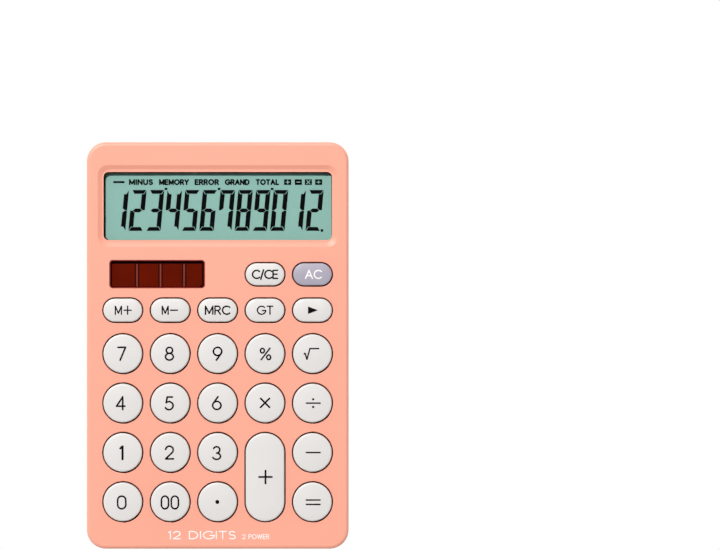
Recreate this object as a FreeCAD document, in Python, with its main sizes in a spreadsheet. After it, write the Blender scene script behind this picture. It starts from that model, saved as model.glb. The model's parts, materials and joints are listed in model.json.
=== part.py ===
import FreeCAD, Part
import math
import os
import Sketcher

# A desk calculator with a wedge-shaped case: two case halves, display, solar cell, twenty-six keys over
# a rubber keypad, circuit board, one small battery behind a hinged door with a sprung latch, four feet.
#
# Two frames are used. The desk frame has +X to the right, +Y towards the display end and +Z up; its
# origin is on the desk under the middle of the case. The face frame is turned by the tilt about X, with
# its origin in the middle of the front face and its Z axis out of that face. Heights in the face frame
# are negative inside the case. Pieces that are square to the desk are placed from the back plane, which
# is the flat part of the underside.

document = FreeCAD.newDocument("desk_calculator")
sheet = document.addObject("Spreadsheet::Sheet", "Sizes")


class Size:
    """A number, with the formula that works it out from the cells of the sheet."""

    def __init__(self, value, formula):
        self.value = float(value)
        self.formula = formula

    def __add__(self, other):
        other = as_size(other)
        return Size(self.value + other.value, f"({self.formula} + {other.formula})")

    def __sub__(self, other):
        other = as_size(other)
        return Size(self.value - other.value, f"({self.formula} - {other.formula})")

    def __mul__(self, other):
        other = as_size(other)
        return Size(self.value * other.value, f"({self.formula} * {other.formula})")

    def __truediv__(self, other):
        other = as_size(other)
        return Size(self.value / other.value, f"({self.formula} / {other.formula})")

    def __neg__(self):
        return Size(-self.value, f"(0 - {self.formula})")

    __radd__ = __add__
    __rmul__ = __mul__


def as_size(number):
    """Let plain numbers stand where a Size is wanted."""
    return number if isinstance(number, Size) else Size(number, str(float(number)))


def sine(angle):
    return Size(math.sin(math.radians(angle.value)), f"sin({angle.formula} * 1 deg)")


def cosine(angle):
    return Size(math.cos(math.radians(angle.value)), f"cos({angle.formula} * 1 deg)")


def tangent(angle):
    return Size(math.tan(math.radians(angle.value)), f"tan({angle.formula} * 1 deg)")


class Sizes:
    """The driving dimensions: each one is a cell of the sheet and an attribute of the same name."""

    def __init__(self):
        self.rows = 0

    def add(self, **values):
        for name, value in values.items():
            self.rows += 1
            sheet.set(f"A{self.rows}", name)
            sheet.set(f"B{self.rows}", str(value))
            sheet.setAlias(f"B{self.rows}", name)
            setattr(self, name, Size(value, f"Sizes.{name}"))


size = Sizes()
ZERO = as_size(0)

# Case, millimetres and degrees
size.add(case_width=103, case_length=160, case_corner=7.5, face_edge=1.3, wall=2, skin=2.2)
size.add(front_depth=8, case_tilt=5, case_offset=-0.55, foot_standoff=1.6)
size.add(ridge_place=44, ridge_angle=12, ridge_radius=60, back_edge=5, seam_step=0.25, seam_gap=0.15)
size.add(lip_height=1.1, lip_thickness=0.9, lip_clearance=0.1, lip_root=2)

# Screws that join the case halves, and the bosses that they run in
size.add(boss_side_gap=1.3, boss_end_gap=0.4, screw_radius=1, screw_head_radius=1.65)
size.add(screw_head_height=1.3, head_sinking=0.9, head_clearance=0.25, shank_clearance=0.15)
size.add(thread_clearance=0.05)
size.add(boss_radius=2.5, tower_radius=3.2, boss_floor=0.6, tip_clearance=1.1, cross_width=0.5)
size.add(cross_length=2.1, cross_depth=0.8, head_rounding=0.45)

# Display
size.add(display_place=54.9, recess_width=94.5, recess_height=32.2, recess_corner=4, recess_depth=0.8)
size.add(recess_slope=1.7, opening_width=89.9, opening_height=26.8, opening_corner=2)
size.add(window_margin=1.8, window_thickness=1, gasket_thickness=0.4, gasket_margin=0.3)
size.add(glass_width=92, glass_height=30, glass_thickness=0.55, contact_ledge=1.55, reflector_thickness=0.15)
size.add(holder_wall=1.7, holder_end=0.9, holder_clearance=0.1)
size.add(zebra_thickness=1.2, zebra_edge=0.15, zebra_short=3, zebra_clearance=0.2)

# Solar cell
size.add(solar_place_x=-23.8, solar_place_y=28.06, solar_width=36.9, solar_height=10.4, solar_corner=1)
size.add(solar_chamfer=0.5, solar_overlap=1.2, solar_thickness=1.1)
size.add(solar_pad_short=2.4, solar_pad_narrow=1.2)

# Keys: a cap in a hole of the face, with a flange under the skin and a stem on the keypad's dome
size.add(column_pitch=18.65, clear_row=28, memory_row=13.9, digit_row=-3.2, row_pitch=19.43)
size.add(key_web=2.55, clear_hole_height=9.6, memory_hole_height=10, hole_rounding=0.3)
size.add(key_gap=0.45, key_rise=1.6, key_rounding=1.05, key_travel=1.2, key_wall=1.3, key_crown=1.8)
size.add(flange_overlap=0.75, flange_thickness=0.9, flange_clearance=0.1, stem_radius=2.1)

# Rubber keypad
size.add(pad_thickness=0.8, pad_edge=0.5, dome_root=3.8, dome_top=2.2, dome_clearance=0.1)
size.add(dome_inner=1.8, pill_radius=1.4, pill_thickness=0.4, pill_spare=0.1)
size.add(pad_hole_clearance=0.3, pad_notch_x=8.5, pad_notch_margin=0.55, pad_top_margin=0.5)

# Circuit board
size.add(board_depth=6.2, board_thickness=1.2, board_width=95, board_length=142, board_corner=1)
size.add(board_boss_radius=2, board_screw_head=1.8, board_screw_head_height=1.2, board_screw_end=3)
size.add(upper_boss_x=44.6, upper_boss_y=36.6, chip_radius=4.5, chip_height=1.4, chip_x=-18, chip_y=50)
size.add(capacitor_radius=2.5, capacitor_height=7, capacitor_x=20, capacitor_y=52)
size.add(diode_radius=0.9, diode_length=3.8, diode_x=32, diode_y=46)
size.add(resistor_length=2, resistor_width=1.25, resistor_height=0.6, resistor_pitch=4, resistor_y=60)

# Battery, its bay in the rear half, and the door
size.add(battery_radius=5.25, battery_length=44.5, nub_radius=1.9, nub_length=0.9, battery_edge=0.5)
size.add(battery_lift=0.35, bay_side=0.55, bay_top=0.3, bay_length=51.6, bay_wall=1.2, bay_roof=1.1)
size.add(bay_board_gap=0.35)
size.add(contact_thickness=0.4, contact_width=9, contact_height=8)
size.add(spring_radius=3, spring_wire=0.3, spring_turns=4, spring_clearance=0.03)
size.add(door_width=71.1, door_length=25.7, door_centre=9.35, door_corner=1, door_thickness=1.6)
size.add(door_gap=0.2, door_rest=0.1, door_edge=0.2, ledge=2.2, block_wall=1.6, cavity_height=4)
size.add(block_roof=1.2, block_root=1.2)
size.add(hook_place=24, hook_width=5, hook_riser=1.3, hook_setback=0.3, hook_reach=1.5, hook_lift=0.3)
size.add(hook_thickness=1, hook_side_gap=0.4, hook_end_gap=0.7, rib_place=8.5, rib_width=1, rib_height=1.2)
size.add(rib_short=5.5)

# Latch: a sprung tab on the lower edge of the door, with a hollow for a fingertip
size.add(latch_half_width=9.7, latch_slot=0.5, latch_valley_depth=1.5, latch_rim=0.1, latch_thickness=1)
size.add(latch_root_gap=0.15, latch_reach=8.5, latch_tip_half_width=7.5, latch_tip_reach=10.85)
size.add(latch_tip_gap=0.2, latch_tip_corner=1.2, latch_tip_root=0.3, latch_end_gap=0.3)
size.add(latch_block_wall=1.8)

# Feet, and the mark that the mould's gate leaves
size.add(foot_radius=5.4, foot_sinking=0.6, foot_clearance=0.3, foot_rounding=0.5)
size.add(foot_x_rear=36.3, foot_y_rear=30.7, foot_x_front=36, foot_y_front=-66.2)
size.add(gate_radius=1.3, gate_depth=0.2, gate_place=30.8)

# Wires inside the case
size.add(wire_radius=0.55, wire_hole_radius=0.8, wire_height=10, wire_run=4.4, wire_end_gap=0.1)
size.add(solar_wire_radius=0.35, solar_wire_inset=1.4, solar_wire_spread=2.6, solar_wire_run=4)

document.recompute()

# Between face and back, in the middle of the case, lie the board and under it the bay with the battery
battery_height = size.door_thickness + size.battery_lift + size.battery_radius
bay_ceiling = battery_height + size.battery_radius + size.bay_top
middle_thickness = (
    size.board_depth + size.board_thickness + size.bay_board_gap + size.bay_roof + bay_ceiling
)
face_height = size.foot_standoff + middle_thickness * cosine(size.case_tilt)

nodes = {}


def keep(item, label):
    """Give a finished sub-part its label and put it on the list of those to write."""
    item.Label = label
    nodes[label] = item
    return item


def bind(item, **properties):
    """Bind properties of a document object to formulas over the sheet."""
    for name, value in properties.items():
        item.setExpression(name, as_size(value).formula)


def place_on_face(item, x=ZERO, y=ZERO, z=ZERO):
    """Place an item at a point of the face frame, turned with the face."""
    y = as_size(y)
    z = as_size(z)
    tilt = size.case_tilt
    turn = FreeCAD.Rotation(FreeCAD.Vector(1, 0, 0), tilt.value)
    item.Placement = FreeCAD.Placement(FreeCAD.Vector(), turn)
    item.setExpression(".Placement.Rotation.Angle", f"{tilt.formula} * 1 deg")
    item.setExpression(".Placement.Base.x", as_size(x).formula)
    forward = size.case_offset + y * cosine(tilt) - z * sine(tilt)
    item.setExpression(".Placement.Base.y", forward.formula)
    item.setExpression(".Placement.Base.z", (face_height + y * sine(tilt) + z * cosine(tilt)).formula)
    return item


def place_on_back(item, x=ZERO, y=ZERO, z=ZERO, axis=(0, 0, 1), angle=0):
    """Place an item square to the desk, with its height counted inwards from the back plane."""
    item.Placement = FreeCAD.Placement(FreeCAD.Vector(), FreeCAD.Rotation(FreeCAD.Vector(*axis), angle))
    item.setExpression(".Placement.Base.x", as_size(x).formula)
    item.setExpression(".Placement.Base.y", as_size(y).formula)
    item.setExpression(".Placement.Base.z", (size.foot_standoff + z).formula)
    return item


def new_body(label):
    return keep(document.addObject("PartDesign::Body", label), label)


class Outline:
    """A fully constrained sketch on one of its body's own planes."""

    def __init__(self, body, name, height=ZERO, plane="XY_Plane", square_to_desk=False):
        self.sketch = body.newObject("Sketcher::SketchObject", name)
        origin_plane = [o for o in body.Origin.OriginFeatures if o.Role == plane][0]
        self.sketch.AttachmentSupport = [(origin_plane, "")]
        self.sketch.MapMode = "FlatFace"
        height = as_size(height)
        base = ".AttachmentOffset.Base."
        if square_to_desk:
            # a plane parallel to the desk, inside a body that is turned with the face
            tilt = size.case_tilt
            turn = FreeCAD.Rotation(FreeCAD.Vector(1, 0, 0), -tilt.value)
            self.sketch.AttachmentOffset = FreeCAD.Placement(FreeCAD.Vector(), turn)
            self.sketch.setExpression(".AttachmentOffset.Rotation.Angle", f"{tilt.formula} * -1 deg")
            rise = height - middle_thickness * cosine(tilt)
            along = rise * sine(tilt) - size.case_offset * cosine(tilt)
            self.sketch.setExpression(base + "y", along.formula)
            above = rise * cosine(tilt) + size.case_offset * sine(tilt)
            self.sketch.setExpression(base + "z", above.formula)
        else:
            self.sketch.setExpression(base + "z", height.formula)
        self.count = 0

    def bound(self, name, constraint, value):
        """Add a dimension and bind it to a formula."""
        index = self.sketch.addConstraint(constraint)
        name = f"{name}_{self.count}"
        self.sketch.renameConstraint(index, name)
        self.sketch.setExpression("Constraints." + name, as_size(value).formula)

    def at(self, name, geometry, point, x, y):
        """Fix a point of the sketch's geometry from the sketch's origin."""
        x = as_size(x)
        y = as_size(y)
        self.bound(name + "_x", Sketcher.Constraint("DistanceX", -1, 1, geometry, point, x.value), x)
        self.bound(name + "_y", Sketcher.Constraint("DistanceY", -1, 1, geometry, point, y.value), y)

    def add(self, shapes):
        self.count += 1
        return self.sketch.addGeometry(shapes, False)[0]

    def circle(self, radius, x=ZERO, y=ZERO):
        radius = as_size(radius)
        x = as_size(x)
        y = as_size(y)
        centre = FreeCAD.Vector(x.value, y.value, 0)
        first = self.add([Part.Circle(centre, FreeCAD.Vector(0, 0, 1), radius.value)])
        self.bound("radius", Sketcher.Constraint("Radius", first, radius.value), radius)
        self.at("centre", first, 3, x, y)
        return self

    def polygon(self, points):
        """Straight sides through points that are each fixed by two dimensions."""
        points = [(as_size(x), as_size(y)) for x, y in points]
        corners = [FreeCAD.Vector(x.value, y.value, 0) for x, y in points]
        first = self.add([Part.LineSegment(a, b) for a, b in zip(corners, corners[1:] + corners[:1])])
        number = len(points)
        for n in range(number):
            joint = Sketcher.Constraint("Coincident", first + n, 2, first + (n + 1) % number, 1)
            self.sketch.addConstraint(joint)
        for n, (x, y) in enumerate(points):
            self.at(f"corner{n}", first + n, 1, x, y)
        return self

    def rectangle(self, width, length, radius=None, x=ZERO, y=ZERO):
        """A rectangle about a centre, with round corners if a radius is given."""
        half_width = as_size(width) / 2
        half_length = as_size(length) / 2
        x = as_size(x)
        y = as_size(y)
        if radius is None:
            left, right = x - half_width, x + half_width
            bottom, top = y - half_length, y + half_length
            return self.polygon([(left, bottom), (right, bottom), (right, top), (left, top)])
        radius = as_size(radius)
        left, right = x - half_width + radius, x + half_width - radius
        bottom, top = y - half_length + radius, y + half_length - radius
        centres = [(right, bottom), (right, top), (left, top), (left, bottom)]
        shapes = []
        for n, (across, along) in enumerate(centres):
            start = (n - 1) * math.pi / 2
            middle = FreeCAD.Vector(across.value, along.value, 0)
            circle = Part.Circle(middle, FreeCAD.Vector(0, 0, 1), radius.value)
            shapes.append(Part.ArcOfCircle(circle, start, start + math.pi / 2))
        sides = []
        for arc, following in zip(shapes, shapes[1:] + shapes[:1]):
            sides.append(Part.LineSegment(arc.EndPoint, following.StartPoint))
        first = self.add([piece for pair in zip(shapes, sides) for piece in pair])
        rules = []
        for n in range(8):
            rules.append(Sketcher.Constraint("Tangent", first + n, 2, first + (n + 1) % 8, 1))
        rules += [Sketcher.Constraint("Vertical", first + n) for n in (1, 5)]
        rules += [Sketcher.Constraint("Horizontal", first + n) for n in (3, 7)]
        rules += [Sketcher.Constraint("Equal", first, first + n) for n in (2, 4, 6)]
        self.sketch.addConstraint(rules)
        self.bound("radius", Sketcher.Constraint("Radius", first, radius.value), radius)
        self.at("low_centre", first + 6, 3, left, bottom)
        self.at("high_centre", first + 2, 3, right, top)
        return self

    def slot(self, width, length, x=ZERO, y=ZERO):
        """A shape with two full-radius ends, long in X or in Y."""
        width = as_size(width)
        length = as_size(length)
        x = as_size(x)
        y = as_size(y)
        lying = width.value > length.value
        radius = (length if lying else width) / 2
        reach = (width if lying else length) / 2 - radius
        low = (x - reach, y) if lying else (x, y - reach)
        high = (x + reach, y) if lying else (x, y + reach)
        turn = 0 if lying else math.pi / 2
        arcs = []
        for (across, along), start in ((high, turn - math.pi / 2), (low, turn + math.pi / 2)):
            middle = FreeCAD.Vector(across.value, along.value, 0)
            circle = Part.Circle(middle, FreeCAD.Vector(0, 0, 1), radius.value)
            arcs.append(Part.ArcOfCircle(circle, start, start + math.pi))
        one = Part.LineSegment(arcs[0].EndPoint, arcs[1].StartPoint)
        other = Part.LineSegment(arcs[1].EndPoint, arcs[0].StartPoint)
        first = self.add([arcs[0], one, arcs[1], other])
        rules = [Sketcher.Constraint("Tangent", first + n, 2, first + (n + 1) % 4, 1) for n in range(4)]
        rules.append(Sketcher.Constraint("Equal", first, first + 2))
        self.sketch.addConstraint(rules)
        self.bound("radius", Sketcher.Constraint("Radius", first, radius.value), radius)
        self.at("high_centre", first, 3, *high)
        self.at("low_centre", first + 2, 3, *low)
        return self


def pad(body, name, draw, bottom, top, square_to_desk=False):
    """Add material between two heights of the body, or of the back plane."""
    outline = Outline(body, name + "_outline", bottom, square_to_desk=square_to_desk)
    draw(outline)
    feature = body.newObject("PartDesign::Pad", name)
    feature.Profile = outline.sketch
    bind(feature, Length=as_size(top) - bottom)
    document.recompute()
    return feature


def cut(body, name, draw, bottom, top, square_to_desk=False):
    """Take material away between two heights, and make sure that some went."""
    before = body.Tip.Shape.Volume
    outline = Outline(body, name + "_outline", top, square_to_desk=square_to_desk)
    draw(outline)
    feature = body.newObject("PartDesign::Pocket", name)
    feature.Profile = outline.sketch
    bind(feature, Length=as_size(top) - bottom)
    document.recompute()
    if not feature.Shape.Volume < before:
        raise RuntimeError(f"{body.Label}: {name} takes nothing away")
    return feature


def dress(body, name, kind, value, chosen):
    """Round or chamfer the edges of the body's last feature that a test chooses."""
    base = body.Tip
    edges = [f"Edge{n}" for n, edge in enumerate(base.Shape.Edges, 1) if chosen(edge.BoundBox)]
    feature = body.newObject("PartDesign::" + kind, name)
    feature.Base = (base, edges)
    bind(feature, **{"Radius" if kind == "Fillet" else "Size": value})
    document.recompute()
    return feature


def lies_at(height):
    """A test for edges that lie flat at one height."""
    level = as_size(height).value

    def test(box):
        return abs(box.ZMin - level) < 1e-4 and abs(box.ZMax - level) < 1e-4

    return test


def solid(kind, name, **properties):
    """A Part primitive with its sizes bound to the sheet."""
    item = document.addObject("Part::" + kind, name)
    bind(item, **properties)
    return item


def plate(label, width, length, bottom, top, x=ZERO, y=ZERO):
    """A flat rectangular piece in the face frame, about a centre."""
    item = solid("Box", label, Length=width, Width=length, Height=as_size(top) - bottom)
    return keep(place_on_face(item, x - width / 2, y - length / 2, bottom), label)


# ---------------------------------------------------------------- where things are

board_top = -size.board_depth
board_bottom = board_top - size.board_thickness

flange_top = -(size.skin + size.flange_clearance)
flange_bottom = flange_top - size.flange_thickness
dome_height = flange_bottom - size.dome_clearance
pad_top = board_top + size.pad_thickness
pill_top = board_top + size.key_travel + size.pill_spare + size.pill_thickness

plus_row = size.digit_row - size.row_pitch * 2.5

# name, column, row centre, shape of the hole
KEYS = [
    ("key_clear_entry", 1, size.clear_row, "clear"),
    ("key_all_clear", 2, size.clear_row, "clear"),
    ("key_memory_plus", -2, size.memory_row, "memory"),
    ("key_memory_minus", -1, size.memory_row, "memory"),
    ("key_memory_recall", 0, size.memory_row, "memory"),
    ("key_grand_total", 1, size.memory_row, "memory"),
    ("key_backspace", 2, size.memory_row, "memory"),
    ("key_plus", 1, plus_row, "plus"),
]
ROWS = [
    ["7", "8", "9", "percent", "root"],
    ["4", "5", "6", "times", "divide"],
    ["1", "2", "3", None, "minus"],
    ["0", "00", "point", None, "equals"],
]
for row, names in enumerate(ROWS):
    for column, name in enumerate(names, -2):
        if name:
            KEYS.append((f"key_{name}", column, size.digit_row - size.row_pitch * row, "round"))

# bosses under the face that carry the board
BOARD_BOSSES = [
    (size.column_pitch * -1.5, size.digit_row - size.row_pitch / 2),
    (size.column_pitch * 1.5, size.digit_row - size.row_pitch / 2),
    (size.column_pitch * -1.5, size.digit_row - size.row_pitch * 2.5),
    (size.column_pitch * 1.5, size.digit_row - size.row_pitch * 1.5),
    (-size.upper_boss_x, size.upper_boss_y),
    (size.upper_boss_x, size.upper_boss_y),
]

# round keys are as wide as the pitch of the columns allows, less the web between two holes
hole_radius = (size.column_pitch - size.key_web) / 2
hole_width = hole_radius * 2
plus_hole_height = hole_width + size.row_pitch
HOLE_HEIGHTS = {
    "clear": size.clear_hole_height,
    "memory": size.memory_hole_height,
    "plus": plus_hole_height,
}


def key_shape(outline, shape, growth, x=ZERO, y=ZERO):
    """The outline of a key hole, grown or shrunk all round."""
    if shape == "round":
        return outline.circle(hole_radius + growth, x, y)
    return outline.slot(hole_width + growth * 2, HOLE_HEIGHTS[shape] + growth * 2, x, y)


def draw_key_holes(outline):
    for _, column, y, shape in KEYS:
        key_shape(outline, shape, ZERO, size.column_pitch * column, y)


def draw_case(inset):
    """The case's outline, moved inwards by an inset."""

    def draw(outline):
        outline.rectangle(
            size.case_width - inset * 2, size.case_length - inset * 2, size.case_corner - inset
        )

    return draw


def draw_circles(radius, places):
    def draw(outline):
        for x, y in places:
            outline.circle(radius, x, y)

    return draw


def draw_rectangle(width, length, radius=None, x=ZERO, y=ZERO):
    def draw(outline):
        outline.rectangle(width, length, radius, x, y)

    return draw


# ---------------------------------------------------------------- front half of the case

boss_inset = size.wall + size.lip_clearance + size.lip_thickness + size.boss_radius
screw_x = size.case_width / 2 - boss_inset - size.boss_side_gap
screw_y = size.case_length / 2 - boss_inset - size.boss_end_gap
LOW_SCREWS = [(side * screw_x, -screw_y) for side in (-1, 1)]
HIGH_SCREWS = [(side * screw_x, screw_y) for side in (-1, 1)]
screw_tip = -(size.skin + size.boss_floor + size.tip_clearance)


def front_cover():
    body = new_body("front_cover")
    place_on_face(body)
    pad(body, "shell", draw_case(ZERO), -size.front_depth, ZERO)
    dress(body, "face_rounding", "Fillet", size.face_edge, lies_at(ZERO))
    cut(body, "inside", draw_case(size.wall), -size.front_depth, -size.skin)

    # the display sits in a shallow recess with sloping sides
    rim = Outline(body, "recess_rim")
    rim.rectangle(size.recess_width, size.recess_height, size.recess_corner, ZERO, size.display_place)
    slope = size.recess_slope * 2
    floor = Outline(body, "recess_floor", -size.recess_depth)
    floor.rectangle(
        size.recess_width - slope,
        size.recess_height - slope,
        size.recess_corner - size.recess_slope / 2,
        ZERO,
        size.display_place,
    )
    recess = body.newObject("PartDesign::SubtractiveLoft", "display_recess")
    recess.Profile = rim.sketch
    recess.Sections = [floor.sketch]
    recess.Ruled = True
    document.recompute()

    through = size.skin + 1
    cut(
        body,
        "display_opening",
        draw_rectangle(
            size.opening_width, size.opening_height, size.opening_corner, ZERO, size.display_place
        ),
        -through,
        ZERO,
    )
    cut(body, "key_holes", draw_key_holes, -through, ZERO)
    edge = size.case_length.value / 2 - size.face_edge.value * 2
    below_display = size.display_place.value - size.recess_height.value / 2 - 1e-3
    on_face = lies_at(ZERO)

    def rims_a_hole(box):
        """Edges of the face below the display, without the long edges of the case."""
        return on_face(box) and -edge < box.YMin and box.YMax < below_display and box.YLength < edge

    dress(body, "key_hole_rounding", "Fillet", size.hole_rounding, rims_a_hole)
    cut(
        body,
        "solar_opening",
        draw_rectangle(
            size.solar_width, size.solar_height, size.solar_corner, size.solar_place_x, size.solar_place_y
        ),
        -through,
        ZERO,
    )
    solar_low = size.solar_place_y.value - size.solar_height.value / 2 - 1e-3
    solar_high = size.solar_place_y.value + size.solar_height.value / 2 + 1e-3
    dress(
        body,
        "solar_chamfer",
        "Chamfer",
        size.solar_chamfer,
        lambda box: on_face(box) and box.YMin > solar_low and box.YMax < solar_high and box.XMax < 0,
    )

    # bosses for the case screws and for the board, each with a hole for the thread
    in_skin = -size.skin / 2
    corners = LOW_SCREWS + HIGH_SCREWS
    pilot_end = -(size.skin + size.boss_floor)
    pilot = size.screw_radius + size.thread_clearance
    pad(body, "case_bosses", draw_circles(size.boss_radius, corners), -size.front_depth, in_skin)
    pad(body, "board_bosses", draw_circles(size.board_boss_radius, BOARD_BOSSES), board_top, in_skin)
    cut(body, "case_pilots", draw_circles(pilot, corners), -size.front_depth, pilot_end)
    cut(body, "board_pilots", draw_circles(pilot, BOARD_BOSSES), board_top, pilot_end)
    return body


# ---------------------------------------------------------------- rear half of the case

ridge_thickness = middle_thickness + size.ridge_place * tangent(size.case_tilt)


def back_thickness(y):
    """Thickness at right angles to the face, below the ridge or above it."""
    if as_size(y).value < size.ridge_place.value:
        return middle_thickness + y * tangent(size.case_tilt)
    return ridge_thickness - (y - size.ridge_place) * tangent(size.ridge_angle)


def head_seat(y):
    """Height in the face frame where the head of a case screw bears."""
    return -(back_thickness(y) - size.head_sinking - size.screw_head_height)


block_roof = size.cavity_height + size.block_roof
bay_width = (size.battery_radius + size.bay_side) * 2
door_low = size.door_centre - size.door_length / 2
door_high = size.door_centre + size.door_length / 2
FEET = {
    "foot_front_left": (-size.foot_x_front, size.foot_y_front),
    "foot_front_right": (size.foot_x_front, size.foot_y_front),
    "foot_rear_left": (-size.foot_x_rear, size.foot_y_rear),
    "foot_rear_right": (size.foot_x_rear, size.foot_y_rear),
}


def rear_cover():
    body = new_body("rear_cover")
    place_on_face(body)
    top = -(size.front_depth + size.seam_gap)
    deepest = -(ridge_thickness + 5)
    pad(body, "block", draw_case(size.seam_step), deepest, top)

    # the underside: flat where the feet are, then bent up towards the display end
    far = size.case_length
    profile = Outline(body, "underside_profile", plane="YZ_Plane")
    profile.polygon(
        [
            (-far, -(middle_thickness - far * tangent(size.case_tilt))),
            (size.ridge_place, -ridge_thickness),
            (far, -(ridge_thickness - (far - size.ridge_place) * tangent(size.ridge_angle))),
            (far, deepest * 2),
            (-far, deepest * 2),
        ]
    )
    underside = body.newObject("PartDesign::Pocket", "underside")
    underside.Profile = profile.sketch
    underside.Type = 1
    underside.Midplane = True
    document.recompute()
    ridge = size.ridge_place.value
    dress(
        body,
        "ridge_rounding",
        "Fillet",
        size.ridge_radius,
        lambda box: abs(box.YMin - ridge) < 1e-3 and abs(box.YMax - ridge) < 1e-3 and box.XLength > 10,
    )
    # the edges all round the underside: not the seam, the upright corners or the lines across it
    seam = top.value - 0.5
    side = size.case_width.value / 2 - size.case_corner.value - 1
    end = size.case_length.value / 2 - size.case_corner.value - 1

    def under_edge(box):
        if box.ZMax > seam:
            return False
        across = box.XLength > side and box.YLength < 0.5
        return not across or abs(box.YMin) > end

    dress(body, "back_rounding", "Fillet", size.back_edge, under_edge)

    block = body.Tip
    faces = enumerate(block.Shape.Faces, 1)
    opening = [f"Face{n}" for n, face in faces if face.BoundBox.ZMin > top.value - 1e-3]
    hollow = body.newObject("PartDesign::Thickness", "hollow")
    hollow.Base = (block, opening)
    hollow.Reversed = True
    bind(hollow, Value=size.wall)
    document.recompute()

    # a lip that locates the rear half inside the front half
    lip_outside = size.wall + size.lip_clearance
    lip_foot = top - size.lip_root
    lip_top = -(size.front_depth - size.lip_height)
    pad(body, "lip", draw_case(lip_outside), lip_foot, lip_top)
    cut(body, "lip_inside", draw_case(lip_outside + size.lip_thickness), lip_foot, lip_top)

    # towers for the case screws, each as deep as the case is there
    for name, places in (("low", LOW_SCREWS), ("high", HIGH_SCREWS)):
        y = places[0][1]
        seat = head_seat(y)
        outside = -(back_thickness(y) + size.case_corner)
        head_hole = size.screw_head_radius + size.head_clearance
        shank_hole = size.screw_radius + size.shank_clearance
        in_back = -(back_thickness(y) - size.wall / 2)
        pad(body, name + "_towers", draw_circles(size.tower_radius, places), in_back, -size.front_depth)
        cut(body, name + "_head_holes", draw_circles(head_hole, places), outside, seat)
        cut(body, name + "_shank_holes", draw_circles(shank_hole, places), outside, -size.front_depth)

    # one block holds the door's opening, another the latch's pocket, and a third the battery's bay
    margin = size.block_wall * 2
    opening_width = size.door_width + size.door_gap * 2
    opening_length = size.door_length + size.door_gap * 2
    corner = size.door_corner + size.door_gap
    centre = size.door_centre
    outside = as_size(-2)
    pad(
        body,
        "door_block",
        draw_rectangle(opening_width + margin, opening_length + margin, None, ZERO, centre),
        size.block_root,
        block_roof,
        True,
    )
    slot_half = size.latch_half_width + size.latch_slot
    latch_end = door_low - size.latch_tip_reach - size.latch_tip_gap
    latch_block_low = latch_end - size.latch_block_wall
    pad(
        body,
        "latch_block",
        draw_rectangle(
            (slot_half + size.latch_block_wall) * 2,
            door_low - latch_block_low,
            None,
            ZERO,
            (door_low + latch_block_low) / 2,
        ),
        size.block_root,
        block_roof,
        True,
    )
    bay_outside = size.bay_wall * 2
    pad(
        body,
        "bay_block",
        draw_rectangle(size.bay_length + bay_outside, bay_width + bay_outside, None, ZERO, centre),
        size.cavity_height + size.block_roof / 2,
        bay_ceiling + size.bay_roof,
        True,
    )
    cut(
        body,
        "door_opening",
        draw_rectangle(opening_width, opening_length, corner, ZERO, centre),
        outside,
        size.door_thickness + size.door_rest,
        True,
    )
    cut(
        body,
        "cavity",
        draw_rectangle(opening_width - size.ledge * 2, opening_length - size.ledge * 2, None, ZERO, centre),
        outside,
        size.cavity_height,
        True,
    )
    cut(
        body,
        "battery_bay",
        draw_rectangle(size.bay_length, bay_width, None, ZERO, centre),
        outside,
        bay_ceiling,
        True,
    )
    pocket_low = door_low - size.latch_reach - size.latch_end_gap
    pocket_high = door_low + size.ledge * 2
    cut(
        body,
        "latch_pocket",
        draw_rectangle(
            slot_half * 2, pocket_high - pocket_low, None, ZERO, (pocket_high + pocket_low) / 2
        ),
        outside,
        size.cavity_height,
        True,
    )
    cut(
        body,
        "latch_tip_pocket",
        draw_rectangle(
            (size.latch_tip_half_width + size.latch_tip_gap) * 2,
            door_low - latch_end,
            size.latch_tip_corner + size.latch_tip_gap,
            ZERO,
            (door_low + latch_end) / 2,
        ),
        outside,
        size.cavity_height,
        True,
    )

    # notches for the door's hooks: through the ledge inside the opening, and above the skin beyond it
    notch_low = door_high - size.hook_riser * 2
    notch_width = size.hook_width + size.hook_side_gap * 2

    def draw_notches(high):
        def draw(outline):
            for side in (-1, 1):
                middle = (notch_low + high) / 2
                outline.rectangle(notch_width, high - notch_low, None, size.hook_place * side, middle)

        return draw

    opening_edge = door_high + size.door_gap
    notch_end = door_high + size.hook_reach + size.hook_end_gap
    cut(body, "riser_notches", draw_notches(opening_edge), outside, size.cavity_height, True)
    cut(body, "finger_notches", draw_notches(notch_end), size.wall, size.cavity_height, True)

    # holes in the ends of the bay for the battery's wires
    holes = Outline(body, "wire_holes_outline", plane="YZ_Plane")
    across = centre - size.case_offset
    rise = size.wire_height - middle_thickness * cosine(size.case_tilt)
    hole_y = across * cosine(size.case_tilt) + rise * sine(size.case_tilt)
    hole_z = rise * cosine(size.case_tilt) - across * sine(size.case_tilt)
    holes.circle(size.wire_hole_radius, hole_y, hole_z)
    feature = body.newObject("PartDesign::Pocket", "wire_holes")
    feature.Profile = holes.sketch
    feature.Midplane = True
    bind(feature, Length=size.bay_length + size.bay_wall * 4)
    document.recompute()

    foot_hole = size.foot_radius + size.foot_clearance
    cut(body, "foot_sinkings", draw_circles(foot_hole, FEET.values()), outside, size.foot_sinking, True)
    gate = [(ZERO, size.gate_place)]
    cut(body, "gate_mark", draw_circles(size.gate_radius, gate), outside, size.gate_depth, True)
    return body


# ---------------------------------------------------------------- display and solar cell


def ring(label, outer, inner, bottom, top, y):
    """A flat frame with square corners, about a centre."""
    body = new_body(label)
    place_on_face(body)
    pad(body, "plate", draw_rectangle(*outer, None, ZERO, y), bottom, top)
    cut(body, "window", draw_rectangle(*inner, None, ZERO, y), bottom, top)
    return body


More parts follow.
